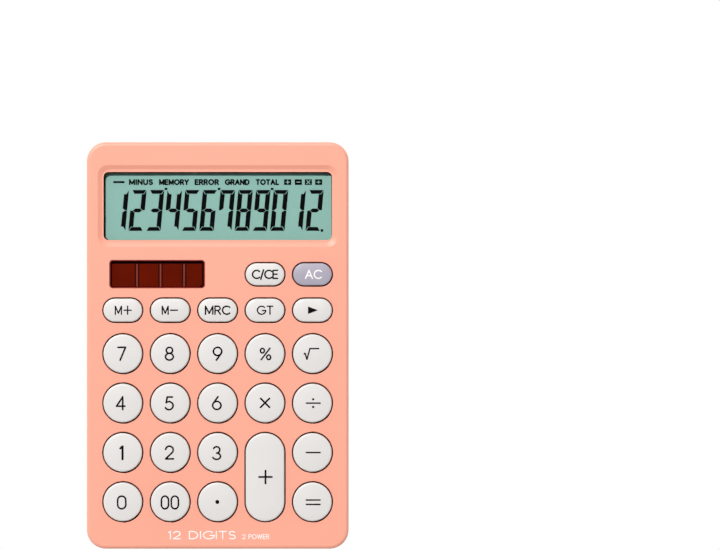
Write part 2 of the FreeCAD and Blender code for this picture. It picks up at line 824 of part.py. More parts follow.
def display():
    y = size.display_place
    window_width = size.opening_width + size.window_margin * 2
    window_height = size.opening_height + size.window_margin * 2
    window_bottom = -(size.skin + size.window_thickness)
    plate("display_window", window_width, window_height, window_bottom, -size.skin, ZERO, y)

    glass_top = window_bottom - size.gasket_thickness
    gasket_hole = size.gasket_margin * 2
    ring(
        "display_gasket",
        (window_width, window_height),
        (size.opening_width + gasket_hole, size.opening_height + gasket_hole),
        glass_top,
        window_bottom,
        y,
    )

    # two sheets of glass: the front one overhangs the rear one where the contacts are
    middle = glass_top - size.glass_thickness
    rear_bottom = middle - size.glass_thickness
    reflector_bottom = rear_bottom - size.reflector_thickness
    rear_height = size.glass_height - size.contact_ledge
    rear_y = y + size.contact_ledge / 2
    plate("lcd_front_glass", size.glass_width, size.glass_height, middle, glass_top, ZERO, y)
    plate("lcd_rear_glass", size.glass_width, rear_height, rear_bottom, middle, ZERO, rear_y)
    plate("lcd_reflector", size.glass_width, rear_height, reflector_bottom, rear_bottom, ZERO, rear_y)

    # the holder stands on the board and has a slot for the conductive strip
    holder = new_body("lcd_holder")
    place_on_face(holder)
    glass_space = size.holder_clearance * 2
    inner_width = size.glass_width + glass_space
    inner_height = size.glass_height + glass_space
    outer = (inner_width + size.holder_wall * 2, inner_height + size.holder_end * 2)
    pad(holder, "tray", draw_rectangle(*outer, None, ZERO, y), board_top, glass_top)
    seat = draw_rectangle(inner_width, inner_height, None, ZERO, y)
    cut(holder, "glass_seat", seat, reflector_bottom, glass_top)
    strip_y = y - size.glass_height / 2 + size.zebra_edge + size.zebra_thickness / 2
    strip_length = size.glass_width - size.zebra_short * 2
    strip_space = size.zebra_clearance * 2
    slot_width = size.zebra_thickness + strip_space
    slot = draw_rectangle(strip_length + strip_space, slot_width, None, ZERO, strip_y)
    cut(holder, "strip_slot", slot, board_top, reflector_bottom)
    plate("zebra_strip", strip_length, size.zebra_thickness, board_top, middle, ZERO, strip_y)


def solar_cell():
    x = size.solar_place_x
    y = size.solar_place_y
    overlap = size.solar_overlap * 2
    bottom = -(size.skin + size.solar_thickness)
    width = size.solar_width + overlap
    height = size.solar_height + overlap
    plate("solar_cell", width, height, bottom, -size.skin, x, y)
    pad_width = width - size.solar_pad_short * 2
    pad_height = height - size.solar_pad_narrow * 2
    plate("solar_pad", pad_width, pad_height, board_top, bottom, x, y)
    # two short leads at the cell's inner end
    start = x + width / 2 - size.solar_wire_inset
    for label, side in (("solar_wire_red", 1), ("solar_wire_black", -1)):
        along = y + size.solar_wire_spread * side
        halfway = (bottom + board_top) / 2
        end = start + size.solar_wire_run
        points = [(start, along, bottom), (start, along, halfway)]
        points += [(end, along, halfway), (end, along, board_top)]
        wire(label, points, size.solar_wire_radius, place_on_face)


def wire(label, points, radius, placed):
    """A tube of straight runs joined by arcs that touch them, its ends square to its first and last runs."""
    route = [FreeCAD.Vector(*(as_size(n).value for n in point)) for point in points]
    starts = [route[0]]
    edges = []
    for before, corner, after in zip(route, route[1:], route[2:]):
        incoming = corner - before
        outgoing = after - corner
        turn = incoming.getAngle(outgoing)
        trim = 0.45 * min(incoming.Length, outgoing.Length)
        one = corner - incoming.normalize() * trim
        other = corner + outgoing.normalize() * trim
        bow = trim / math.tan((math.pi - turn) / 2)
        middle = corner - (corner * 2 - one - other).normalize() * (bow / math.cos(turn / 2) - bow)
        edges.append(Part.makeLine(starts[-1], one))
        edges.append(Part.Arc(one, middle, other).toShape())
        starts.append(other)
    edges.append(Part.makeLine(starts[-1], route[-1]))
    path = Part.Wire(edges)
    end = Part.makeCircle(radius.value, route[0], route[1] - route[0])
    item = document.addObject("Part::Feature", label)
    item.Shape = path.makePipeShell([Part.Wire([end])], True, False)
    expected = path.Length * math.pi * radius.value ** 2
    if abs(item.Shape.Volume / expected - 1) > 0.02:
        raise RuntimeError(f"{label}: {item.Shape.Volume:.3f} mm3 where {expected:.3f} was expected")
    return keep(placed(item), label)


# ---------------------------------------------------------------- keys and keypad


def key(label, column, y, shape):
    """A hollow cap with a flange that stays under the skin and a stem that presses the dome."""
    body = new_body(label)
    place_on_face(body, size.column_pitch * column, y)
    cap = -size.key_gap
    pad(body, "cap", lambda outline: key_shape(outline, shape, cap), flange_bottom, size.key_rise)
    dress(body, "cap_rounding", "Fillet", size.key_rounding, lies_at(size.key_rise))
    flange = size.flange_overlap
    pad(body, "flange", lambda outline: key_shape(outline, shape, flange), flange_bottom, flange_top)
    ceiling = size.key_rise - size.key_crown
    inside = cap - size.key_wall
    cut(body, "inside", lambda outline: key_shape(outline, shape, inside), flange_bottom, ceiling)
    pad(body, "stem", draw_circles(size.stem_radius, [(ZERO, ZERO)]), flange_bottom, ceiling)


def rubber_keypad():
    """A sheet with a hollow dome under each key; the key's stem rests on the dome."""
    body = new_body("rubber_keypad")
    place_on_face(body)
    side = size.column_pitch * 2 + hole_radius + size.flange_overlap + size.pad_edge
    low = size.digit_row - size.row_pitch * 3 - hole_radius - size.flange_overlap - size.pad_edge
    middle = size.memory_row + size.memory_hole_height / 2 + size.flange_overlap + size.pad_top_margin
    high = size.clear_row + size.clear_hole_height / 2 + size.flange_overlap + size.pad_notch_margin
    notch = size.pad_notch_x
    corners = [(-side, low), (side, low), (side, high), (notch, high), (notch, middle), (-side, middle)]
    pad(body, "sheet", lambda outline: outline.polygon(corners), board_top, pad_top)
    boss_hole = size.board_boss_radius + size.pad_hole_clearance
    low_bosses = BOARD_BOSSES[:4]
    cut(body, "boss_holes", draw_circles(boss_hole, low_bosses), board_top, pad_top)
    places = [(size.column_pitch * column, y) for _, column, y, _ in KEYS]
    domes = pad(body, "domes", draw_circles(size.dome_root, places), pad_top, dome_height)
    slope = (size.dome_root - size.dome_top) / (dome_height - pad_top)
    domes.setExpression("TaperAngle", f"0 deg - atan({slope.formula})")
    document.recompute()
    cut(body, "dome_hollows", draw_circles(size.dome_inner, places), board_top, pill_top)


def contact_pills():
    """Conductive pills under the domes, which close the circuit on the board."""
    body = new_body("contact_pills")
    place_on_face(body)
    places = [(size.column_pitch * column, y) for _, column, y, _ in KEYS]
    pad(body, "pills", draw_circles(size.pill_radius, places), pill_top - size.pill_thickness, pill_top)


# ---------------------------------------------------------------- circuit board


def main_board():
    body = new_body("main_board")
    place_on_face(body)
    outline = draw_rectangle(size.board_width, size.board_length, size.board_corner)
    pad(body, "laminate", outline, board_bottom, board_top)
    hole = size.screw_radius + size.shank_clearance
    cut(body, "screw_holes", draw_circles(hole, BOARD_BOSSES), board_bottom, board_top)


def rounded_cylinder(label, radius, height, rounding, rounded_end):
    """A cylinder along its own Z with a rounding on its lower or upper end."""
    blank = solid("Cylinder", label + "_blank", Radius=radius, Height=height)
    document.recompute()
    level = as_size(0 if rounded_end == "lower" else height).value
    edges = [n for n, edge in enumerate(blank.Shape.Edges, 1) if lies_at(level)(edge.BoundBox)]
    item = document.addObject("Part::Fillet", label)
    item.Base = blank
    item.Edges = [(n, rounding.value, rounding.value) for n in edges]
    return item


def board_parts():
    rounding = size.chip_height * 0.8
    blob = rounded_cylinder("chip_cover", size.chip_radius, size.chip_height, rounding, "lower")
    keep(place_on_face(blob, size.chip_x, size.chip_y, board_bottom - size.chip_height), "chip_cover")
    can = rounded_cylinder(
        "board_capacitor", size.capacitor_radius, size.capacitor_height, size.capacitor_radius / 8, "lower"
    )
    can_bottom = board_bottom - size.capacitor_height
    keep(place_on_face(can, size.capacitor_x, size.capacitor_y, can_bottom), "board_capacitor")
    diode = solid("Cylinder", "board_diode", Radius=size.diode_radius, Height=size.diode_length)
    diode_y = size.diode_y + size.diode_length / 2
    place_on_face(diode, size.diode_x, diode_y, board_bottom - size.diode_radius)
    lying = FreeCAD.Rotation(FreeCAD.Vector(1, 0, 0), 90 + size.case_tilt.value)
    diode.Placement = FreeCAD.Placement(diode.Placement.Base, lying)
    diode.setExpression(".Placement.Rotation.Angle", f"90 deg + {size.case_tilt.formula} * 1 deg")
    keep(diode, "board_diode")
    pieces = []
    for n in (-1, 0, 1):
        chip = solid(
            "Box",
            f"resistor_{n + 2}",
            Length=size.resistor_length,
            Width=size.resistor_width,
            Height=size.resistor_height,
        )
        place_on_face(chip, size.resistor_pitch * n, size.resistor_y, board_bottom - size.resistor_height)
        pieces.append(chip)
    group("board_resistors", pieces)


def group(label, pieces):
    """Separate solids that share one file."""
    item = document.addObject("Part::Compound", label)
    item.Links = pieces
    return keep(item, label)


# ---------------------------------------------------------------- screws


def screw(name, head_radius, head_height, length):
    """A screw that points up its own Z, its head below zero, with a cross recess."""
    head = rounded_cylinder(name + "_head", head_radius, head_height, size.head_rounding, "lower")
    head.Placement = FreeCAD.Placement(FreeCAD.Vector(0, 0, -head_height.value), FreeCAD.Rotation())
    head.setExpression(".Placement.Base.z", (-head_height).formula)
    shank = solid("Cylinder", name + "_shank", Radius=size.screw_radius, Height=length)
    whole = document.addObject("Part::Fuse", name + "_blank")
    whole.Base = head
    whole.Tool = shank
    bars = []
    for width, depth in ((size.cross_length, size.cross_width), (size.cross_width, size.cross_length)):
        bar = solid("Box", f"{name}_bar", Length=width, Width=depth, Height=size.cross_depth)
        bar.setExpression(".Placement.Base.x", (-width / 2).formula)
        bar.setExpression(".Placement.Base.y", (-depth / 2).formula)
        bar.setExpression(".Placement.Base.z", (-head_height).formula)
        bars.append(bar)
    cross = document.addObject("Part::Fuse", name + "_cross")
    cross.Base, cross.Tool = bars
    item = document.addObject("Part::Cut", name)
    item.Base = whole
    item.Tool = cross
    return item


def case_screws():
    screws = []
    for n, (x, y) in enumerate(LOW_SCREWS + HIGH_SCREWS, 1):
        seat = head_seat(y)
        length = screw_tip - seat
        item = screw(f"case_screw_{n}", size.screw_head_radius, size.screw_head_height, length)
        screws.append(place_on_face(item, x, y, seat))
    group("case_screws", screws)


def board_screws():
    screws = []
    for n, (x, y) in enumerate(BOARD_BOSSES, 1):
        length = size.board_depth + size.board_thickness - size.board_screw_end
        item = screw(f"board_screw_{n}", size.board_screw_head, size.board_screw_head_height, length)
        screws.append(place_on_face(item, x, y, board_bottom))
    group("board_screws", screws)


# ---------------------------------------------------------------- battery, contacts, wires


def battery():
    """One slim cell, lying across the case, its positive end to the right."""
    barrel_length = size.battery_length - size.nub_length
    can = rounded_cylinder("battery_can", size.battery_radius, barrel_length, size.battery_edge, "upper")
    nub = solid("Cylinder", "battery_nub", Radius=size.nub_radius, Height=size.nub_length)
    nub.setExpression(".Placement.Base.z", barrel_length.formula)
    cell = document.addObject("Part::Fuse", "battery")
    cell.Base = can
    cell.Tool = nub
    left = size.bay_length / 2 - size.contact_thickness - size.battery_length
    keep(place_on_back(cell, left, size.door_centre, battery_height, (0, 1, 0), 90), "battery")


def battery_contacts():
    plates = []
    low = battery_height - size.contact_height / 2
    for side, x in (("minus", -size.bay_length / 2), ("plus", size.bay_length / 2 - size.contact_thickness)):
        piece = solid(
            "Box",
            f"contact_{side}",
            Length=size.contact_thickness,
            Width=size.contact_width,
            Height=size.contact_height,
        )
        plates.append(place_on_back(piece, x, size.door_centre - size.contact_width / 2, low))
    group("battery_contacts", plates)


def battery_spring():
    """A coil between the left contact and the cell."""
    contact = -size.bay_length / 2 + size.contact_thickness
    cell = size.bay_length / 2 - size.contact_thickness - size.battery_length
    ends = size.spring_wire + size.spring_clearance
    radius = size.spring_radius.value
    pitch = (cell - contact - ends * 2).value / size.spring_turns.value
    # the wire follows short pieces of helix, a quarter of a turn each, so that no face winds round
    path = []
    for quarter in range(round(size.spring_turns.value * 4)):
        arc = Part.makeHelix(pitch, pitch / 4, radius)
        turn = FreeCAD.Rotation(FreeCAD.Vector(0, 0, 1), quarter * 90)
        arc.Placement = FreeCAD.Placement(FreeCAD.Vector(0, 0, quarter * pitch / 4), turn)
        path += arc.Edges
    forward = FreeCAD.Vector(0, math.tau * radius, pitch)
    section = Part.makeCircle(size.spring_wire.value, FreeCAD.Vector(radius, 0, 0), forward)
    item = document.addObject("Part::Feature", "battery_spring")
    item.Shape = Part.Wire(path).makePipeShell([Part.Wire([section])], True, True)
    place_on_back(item, contact + ends, size.door_centre, battery_height, (0, 1, 0), 90)
    keep(item, "battery_spring")


def battery_wires():
    """From each contact, out of the bay and up to the board."""
    reach = size.bay_length / 2
    run = size.wire_run
    for label, side in (("battery_wire_black", -1), ("battery_wire_red", 1)):
        rise = (size.door_centre - size.case_offset) * tangent(size.case_tilt)
        board = face_height - size.foot_standoff + rise + board_bottom / cosine(size.case_tilt)
        top = board - size.wire_end_gap
        y = size.door_centre
        height = size.wire_height
        points = [
            (side * reach, y, height),
            (side * (reach + run), y, height),
            (side * (reach + run), y, top),
        ]
        wire(label, points, size.wire_radius, place_on_back)


# ---------------------------------------------------------------- door, latch, feet


def battery_door():
    body = new_body("battery_door")
    place_on_back(body)
    centre = size.door_centre
    panel = draw_rectangle(size.door_width, size.door_length, size.door_corner, ZERO, centre)
    pad(body, "panel", panel, ZERO, size.door_thickness)
    dress(body, "panel_edge", "Fillet", size.door_edge, lies_at(ZERO))
    inside = size.door_thickness
    hook_underside = size.wall + size.hook_lift
    hook_top = hook_underside + size.hook_thickness
    riser_top = door_high - size.hook_setback
    riser_middle = riser_top - size.hook_riser / 2
    finger_low = riser_top - size.hook_riser
    finger_high = door_high + size.hook_reach

    def draw_risers(outline):
        for side in (-1, 1):
            outline.rectangle(size.hook_width, size.hook_riser, None, side * size.hook_place, riser_middle)

    def draw_fingers(outline):
        for side in (-1, 1):
            outline.rectangle(
                size.hook_width,
                finger_high - finger_low,
                None,
                side * size.hook_place,
                (finger_high + finger_low) / 2,
            )

    def draw_ribs(outline):
        length = size.door_width - size.rib_short * 2
        for side in (-1, 1):
            outline.rectangle(length, size.rib_width, None, ZERO, centre + side * size.rib_place)

    pad(body, "hook_risers", draw_risers, inside / 2, hook_top)
    pad(body, "hook_fingers", draw_fingers, hook_underside, hook_top)
    pad(body, "ribs", draw_ribs, inside / 2, inside + size.rib_height)


def battery_door_latch():
    """A curved tab: its hollow takes a fingertip, and its narrow tip reaches the end of the pocket."""
    body = new_body("battery_door_latch")
    place_on_back(body)
    root = door_low - size.latch_root_gap
    end = door_low - size.latch_reach
    middle = (root + end) / 2
    # the hollow is an arc through both ends, which lie a little inside the case's surface
    half = (root - end) / 2
    sagitta = size.latch_valley_depth - size.latch_rim
    radius = (half * half + sagitta * sagitta) / (sagitta * 2)
    centre_z = size.latch_valley_depth - radius
    outline = Outline(body, "curve_outline", plane="YZ_Plane")
    centre = FreeCAD.Vector(middle.value, centre_z.value, 0)
    arcs = []
    for value in (radius.value, radius.value + size.latch_thickness.value):
        spread = math.asin(half.value / value)
        circle = Part.Circle(centre, FreeCAD.Vector(0, 0, 1), value)
        arcs.append(Part.ArcOfCircle(circle, math.pi / 2 - spread, math.pi / 2 + spread))
    sides = [
        Part.LineSegment(arcs[0].StartPoint, arcs[1].StartPoint),
        Part.LineSegment(arcs[0].EndPoint, arcs[1].EndPoint),
    ]
    outline.add(arcs + sides)
    joints = []
    for point, line in ((1, 2), (2, 3)):
        joints.append(Sketcher.Constraint("Coincident", 0, point, line, 1))
        joints.append(Sketcher.Constraint("Coincident", 1, point, line, 2))
        joints.append(Sketcher.Constraint("Vertical", line))
    joints.append(Sketcher.Constraint("Coincident", 0, 3, 1, 3))
    outline.sketch.addConstraint(joints)
    outline.bound("outer", Sketcher.Constraint("Radius", 0, radius.value), radius)
    thick = radius + size.latch_thickness
    outline.bound("inner", Sketcher.Constraint("Radius", 1, thick.value), thick)
    outline.at("centre", 0, 3, middle, centre_z)
    for name, line, y in (("root", 2, root), ("end", 3, end)):
        rule = Sketcher.Constraint("DistanceX", -1, 1, line, 1, y.value)
        outline.bound(name, rule, y)
    feature = body.newObject("PartDesign::Pad", "curve")
    feature.Profile = outline.sketch
    feature.Midplane = True
    bind(feature, Length=size.latch_half_width * 2)
    document.recompute()
    tip_end = door_low - size.latch_tip_reach
    tip_start = end + size.latch_tip_root
    tip = draw_rectangle(
        size.latch_tip_half_width * 2, tip_start - tip_end, None, ZERO, (tip_start + tip_end) / 2
    )
    pad(body, "tip", tip, ZERO, size.latch_thickness)
    corner = tip_end.value + 1e-3
    upright = size.latch_thickness.value / 2
    dress(
        body,
        "tip_corners",
        "Fillet",
        size.latch_tip_corner,
        lambda box: box.YMax < corner and box.ZLength > upright,
    )


def feet():
    for label, (x, y) in FEET.items():
        height = size.foot_standoff + size.foot_sinking
        item = rounded_cylinder(label, size.foot_radius, height, size.foot_rounding, "lower")
        keep(place_on_back(item, x, y, -size.foot_standoff), label)


# ---------------------------------------------------------------- build, test and write

front_cover()
rear_cover()
display()
solar_cell()
rubber_keypad()
contact_pills()
main_board()
board_parts()
for name, column, row_y, hole_shape in KEYS:
    key(name, column, row_y, hole_shape)
case_screws()
board_screws()
battery()
battery_contacts()
battery_spring()
battery_wires()
battery_door()
battery_door_latch()
feet()
document.recompute()

failed = [item.Name for item in document.Objects if {"Invalid", "Error"} & set(item.State)]
if failed:
    raise RuntimeError(f"failed objects: {failed}")
for label, item in nodes.items():
    shape = item.Shape
    if shape.isNull() or not shape.isValid() or not shape.Solids:
        raise RuntimeError(f"{label} has no valid solid")

os.makedirs("parts", exist_ok=True)
for label, item in nodes.items():
    item.Shape.exportStep(f"parts/{label}.step")
    print(f"{label}: {len(item.Shape.Solids)} solid(s), {item.Shape.Volume:.1f} mm3")
print(f"{len(nodes)} sub-parts")
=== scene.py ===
# %% [markdown]
# # A desk calculator
# The imported model is the design: it says where every piece is and how it moves. This script gives every
# piece its finish, and the finishes of the case and the keys paint shade into the gaps between them. It
# makes the keycaps again in a finer shape and splits the rubber keypad by key, and it adds what the
# imported model leaves out: the printed legends, the figures and signs of the display, the lines of the
# solar cell, the black edges of both glasses, partly painted shadow of the rims, and the white print.
# Everything is in metres, so MM turns the sizes below, which are millimetres, into Blender's unit.

# %% Load the imported model
import bpy
import bmesh
import json
import math
import numpy as np
from mathutils import Matrix, Vector
from mathutils.geometry import delaunay_2d_cdt

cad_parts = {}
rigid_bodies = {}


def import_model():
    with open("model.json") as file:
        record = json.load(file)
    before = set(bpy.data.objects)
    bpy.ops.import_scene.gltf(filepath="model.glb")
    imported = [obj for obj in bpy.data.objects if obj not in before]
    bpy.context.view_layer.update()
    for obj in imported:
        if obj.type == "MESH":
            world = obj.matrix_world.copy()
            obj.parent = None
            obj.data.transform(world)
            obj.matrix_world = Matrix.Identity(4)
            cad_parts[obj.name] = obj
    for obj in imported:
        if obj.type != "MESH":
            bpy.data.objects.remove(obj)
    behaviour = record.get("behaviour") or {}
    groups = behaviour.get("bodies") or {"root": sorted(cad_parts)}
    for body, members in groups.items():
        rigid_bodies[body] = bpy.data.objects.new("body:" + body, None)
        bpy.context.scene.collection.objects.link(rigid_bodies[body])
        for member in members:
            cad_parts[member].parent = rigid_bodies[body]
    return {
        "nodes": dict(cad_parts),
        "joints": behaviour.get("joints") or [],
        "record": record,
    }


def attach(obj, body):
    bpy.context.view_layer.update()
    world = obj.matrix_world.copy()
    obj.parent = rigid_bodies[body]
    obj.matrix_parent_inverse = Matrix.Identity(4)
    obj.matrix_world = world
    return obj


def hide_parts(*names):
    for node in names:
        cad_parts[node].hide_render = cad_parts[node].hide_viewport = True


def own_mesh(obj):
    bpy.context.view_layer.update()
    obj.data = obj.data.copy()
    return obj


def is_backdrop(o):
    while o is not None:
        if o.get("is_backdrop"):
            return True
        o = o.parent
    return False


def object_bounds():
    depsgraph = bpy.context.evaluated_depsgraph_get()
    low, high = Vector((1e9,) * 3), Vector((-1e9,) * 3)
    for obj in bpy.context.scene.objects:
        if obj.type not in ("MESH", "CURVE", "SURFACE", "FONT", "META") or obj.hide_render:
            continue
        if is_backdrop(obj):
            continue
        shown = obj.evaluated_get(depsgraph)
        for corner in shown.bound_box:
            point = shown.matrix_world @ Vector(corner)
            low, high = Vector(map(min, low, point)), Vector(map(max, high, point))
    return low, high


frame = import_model()
cad_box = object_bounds()
MM = 0.001
NODES = frame["nodes"]

# %% [markdown]
# The face of a desk calculator leans towards the person who uses it, so the keys, the legends and the
# display don't lie along the world's axes. It could be measured with angles each time; it is simpler to
# make one matrix, FACE, whose X runs across the face, whose Y runs up towards the display and whose Z
# comes out of it. A key slides straight into the face, so the direction of any key's joint gives the lean.

# %% The face as a frame of its own
PRESS = Vector(next(j["axis"] for j in frame["joints"] if j["name"] == "key_5_press")).normalized()
OUT = -PRESS
ACROSS = Vector((1, 0, 0))
UPWARDS = OUT.cross(ACROSS)
TO_FACE = np.array([ACROSS, UPWARDS, OUT])


def points_of(node):
    """The corners of a CAD node's mesh, one row each."""
    mesh = NODES[node].data
    flat = np.empty(len(mesh.vertices) * 3)
    mesh.vertices.foreach_get("co", flat)
    return flat.reshape(-1, 3)


case_points = points_of("front_cover") @ TO_FACE.T
case_low, case_high = case_points.min(0), case_points.max(0)
face_middle = Vector(((case_low[0] + case_high[0]) / 2, (case_low[1] + case_high[1]) / 2, case_high[2]))
face_origin = Matrix(TO_FACE.tolist()).transposed() @ face_middle
FACE = Matrix.Translation(face_origin) @ Matrix(TO_FACE.tolist()).transposed().to_4x4()
lean = math.degrees(math.atan2(UPWARDS.z, UPWARDS.y))
print(f"the face leans {lean:.1f} degrees about", [round(x / MM, 2) for x in face_origin])


def face_box(node, above=None):
    """Lowest and highest corner of a node in the face's frame; above keeps only points over a height."""
    points = (points_of(node) - np.array(face_origin)) @ TO_FACE.T
    if above is not None:
        points = points[points[:, 2] > above]
    return Vector(points.min(0)), Vector(points.max(0))


# %% [markdown]
# ## Camera
# The camera comes first, because every later choice is judged through it. A long lens far away shows the
# face almost without perspective, as a catalogue picture does. It looks straight down the direction in
# which the keys are pressed, and the case stands left of the middle of the picture.

# %% The camera
LENS = 300
SENSOR = 36
PICTURE_WIDTH = 283.3 * MM
PICTURE_PLACE = Vector((56.0 * MM, 27.75 * MM, 0))

camera = bpy.data.objects.new("camera", bpy.data.cameras.new("camera"))
bpy.context.scene.collection.objects.link(camera)
bpy.context.scene.camera = camera
camera.data.lens = LENS
camera.data.sensor_width = SENSOR
camera_distance = PICTURE_WIDTH * LENS / SENSOR
camera.matrix_world = FACE @ Matrix.Translation(PICTURE_PLACE + Vector((0, 0, camera_distance)))
camera.data.clip_start = 0.1
camera.data.clip_end = 10
print(f"the camera is {camera_distance:.2f} m from the face")

# %% [markdown]
# ## Light
# Catalogue pictures are taken inside a white tent. The cloth glows all round and is dimmer overhead, so
# the rounded rims of the keys are bright on every side while the narrow gaps, which see only what is
# straight above them, stay dark. An even sky would fill those gaps. So the world is brightest at the
# horizon and falls off towards the top, and one lamp high up on the left lights the face and gives the
# thin shadows beside the keys and under the rim of the display. The lamp stands four metres away,
# because a near one would light the top of the face more than the bottom.

# %% Sky and lamp
SKY_AROUND = 1.15
SKY_OVERHEAD = 0.05
DIMMEST_RISE = 0.8
# watts for a lamp one metre away
LAMP_POWER = 12.0
LAMP_WIDTH = 0.34
LAMP_PLACE = Vector((-1.08, 1.86, 3.5))

scene = bpy.context.scene
scene.view_settings.view_transform = "Standard"
world = bpy.data.worlds.new("studio")
scene.world = world
world.use_nodes = True
sky = world.node_tree
away = sky.nodes.new("ShaderNodeTexCoord").outputs["Generated"]
rise = sky.nodes.new("ShaderNodeSeparateXYZ")
sky.links.new(away, rise.inputs[0])
fall = sky.nodes.new("ShaderNodeMapRange")
fall.interpolation_type = "SMOOTHSTEP"
fall.inputs["From Max"].default_value = DIMMEST_RISE
fall.inputs["To Min"].default_value = SKY_AROUND
fall.inputs["To Max"].default_value = SKY_OVERHEAD
sky.links.new(rise.outputs["Z"], fall.inputs["Value"])
sky.links.new(fall.outputs["Result"], sky.nodes["Background"].inputs["Strength"])
sky.nodes["Background"].inputs["Color"].default_value = (1, 1, 1, 1)

lamp = bpy.data.objects.new("key_light", bpy.data.lights.new("key_light", "AREA"))
scene.collection.objects.link(lamp)
lamp.data.size = LAMP_WIDTH
lamp_way = FACE.to_3x3() @ LAMP_PLACE
lamp.location = face_origin + lamp_way
lamp.rotation_euler = lamp_way.to_track_quat("Z", "Y").to_euler()
lamp.data.energy = LAMP_POWER * lamp_way.length_squared
print(f"one lamp, {lamp.data.energy:.1f} W, {lamp_way.length:.2f} m away")


# %% [markdown]
# ## Helpers for node trees
# Shader trees and Geometry Nodes trees are both made of nodes whose inputs are either plain values or
# links. One small helper serves both, so each material and each tree below reads as a list of steps.

# %% Placing and linking nodes
def step(tree, kind, inputs=None, **settings):
    """A node of that kind; each input takes a value or the socket that feeds it."""
    node = tree.nodes.new(kind)
    for name, value in settings.items():
        setattr(node, name, value)
    for name, value in (inputs or {}).items():
        if isinstance(value, bpy.types.NodeSocket):
            tree.links.new(value, node.inputs[name])
        else:
            node.inputs[name].default_value = value
    return node


def maths(tree, operation, *values):
    """A Math node of either kind of tree, as its result."""
    return step(tree, "ShaderNodeMath", dict(enumerate(values)), operation=operation).outputs[0]


def new_group(name, kind, inputs, outputs):
    """An empty node group with named sockets, and its two ends."""
    tree = bpy.data.node_groups.new(name, kind)
    for label, (socket, value) in inputs.items():
        made = tree.interface.new_socket(label, in_out="INPUT", socket_type="NodeSocket" + socket)
        if value is not None:
            made.default_value = value
    for label, socket in outputs.items():
        tree.interface.new_socket(label, in_out="OUTPUT", socket_type="NodeSocket" + socket)
    return tree, tree.nodes.new("NodeGroupInput"), tree.nodes.new("NodeGroupOutput")


# %% [markdown]
# ## Shared effects
# Moulded plastic is never one flat colour: the mould is spark-eroded, so its skin has a fine grain, the
# pigment is a little uneven, and hands leave faint dull patches. The same group does this for every
# plastic, rubber and metal here, each time with its own grain size and depth. It works on Object
# coordinates, which are metres here, so a grain of 0.3 mm is 0.3 mm on every piece.

# %% The grain group
GRAIN, grain_in, grain_out = new_group(
    "grain and handling",
    "ShaderNodeTree",
    {"Grain size": ("Float", 0.3 * MM), "Patch size": ("Float", 20 * MM)},
    {"Height": "Float", "Patches": "Float", "Marks": "Float"},
)
place = step(GRAIN, "ShaderNodeTexCoord").outputs["Object"]
fine = step(
    GRAIN,
    "ShaderNodeTexNoise",
    {
        "Vector": place,
        "Scale": maths(GRAIN, "DIVIDE", 1.0, grain_in.outputs["Grain size"]),
        "Detail": 2.0,
        "Roughness": 0.6,
    },
)
pits = step(
    GRAIN,
    "ShaderNodeTexVoronoi",
    {"Vector": place, "Scale": maths(GRAIN, "DIVIDE", 0.6, grain_in.outputs["Grain size"])},
    feature="SMOOTH_F1",
)
patch_scale = maths(GRAIN, "DIVIDE", 1.0, grain_in.outputs["Patch size"])
patches = step(GRAIN, "ShaderNodeTexNoise", {"Vector": place, "Scale": patch_scale, "Detail": 3.0})
marks = step(
    GRAIN,
    "ShaderNodeTexNoise",
    {
        "Vector": place,
        "Scale": maths(GRAIN, "MULTIPLY", patch_scale, 3.0),
        "Detail": 6.0,
        "Roughness": 0.7,
        "Distortion": 0.6,
    },
)
height = maths(GRAIN, "ADD", fine.outputs["Fac"], maths(GRAIN, "MULTIPLY", pits.outputs["Distance"], 0.5))
GRAIN.links.new(height, grain_out.inputs["Height"])
GRAIN.links.new(patches.outputs["Fac"], grain_out.inputs["Patches"])
GRAIN.links.new(marks.outputs["Fac"], grain_out.inputs["Marks"])
print("groups:", [group.name for group in bpy.data.node_groups])

# %% [markdown]
# Most finishes differ only in colour, gloss, grain and whether they are metal. `finish` makes such a
# material: the group's patches mix two close shades, its marks move the roughness up and down, and its
# height goes through a Bump node. The numbers that are the same all over the surface stay on the
# shader's own sockets.


# %% A finish in one call
def shades(colour, spread):
    """A darker and a lighter shade of one colour, each with full alpha."""
    return [tuple(min(1, part * way) for part in colour) + (1,) for way in (1 - spread, 1 + spread)]


def graded(tree, amount, low, high):
    """A 0 to 1 value of the group spread between two values; noise keeps mostly to its middle."""
    inputs = {"Value": amount, "From Min": 0.3, "From Max": 0.7, "To Min": low, "To Max": high}
    return step(tree, "ShaderNodeMapRange", inputs).outputs["Result"]


def blend(tree, amount, first, second):
    """Two colours, or the sockets that give them, mixed by a value."""
    node = step(tree, "ShaderNodeMix", data_type="RGBA")
    for socket, value in ((node.inputs[0], amount), (node.inputs[6], first), (node.inputs[7], second)):
        if isinstance(value, bpy.types.NodeSocket):
            tree.links.new(value, socket)
        else:
            socket.default_value = value
    return node.outputs[2]


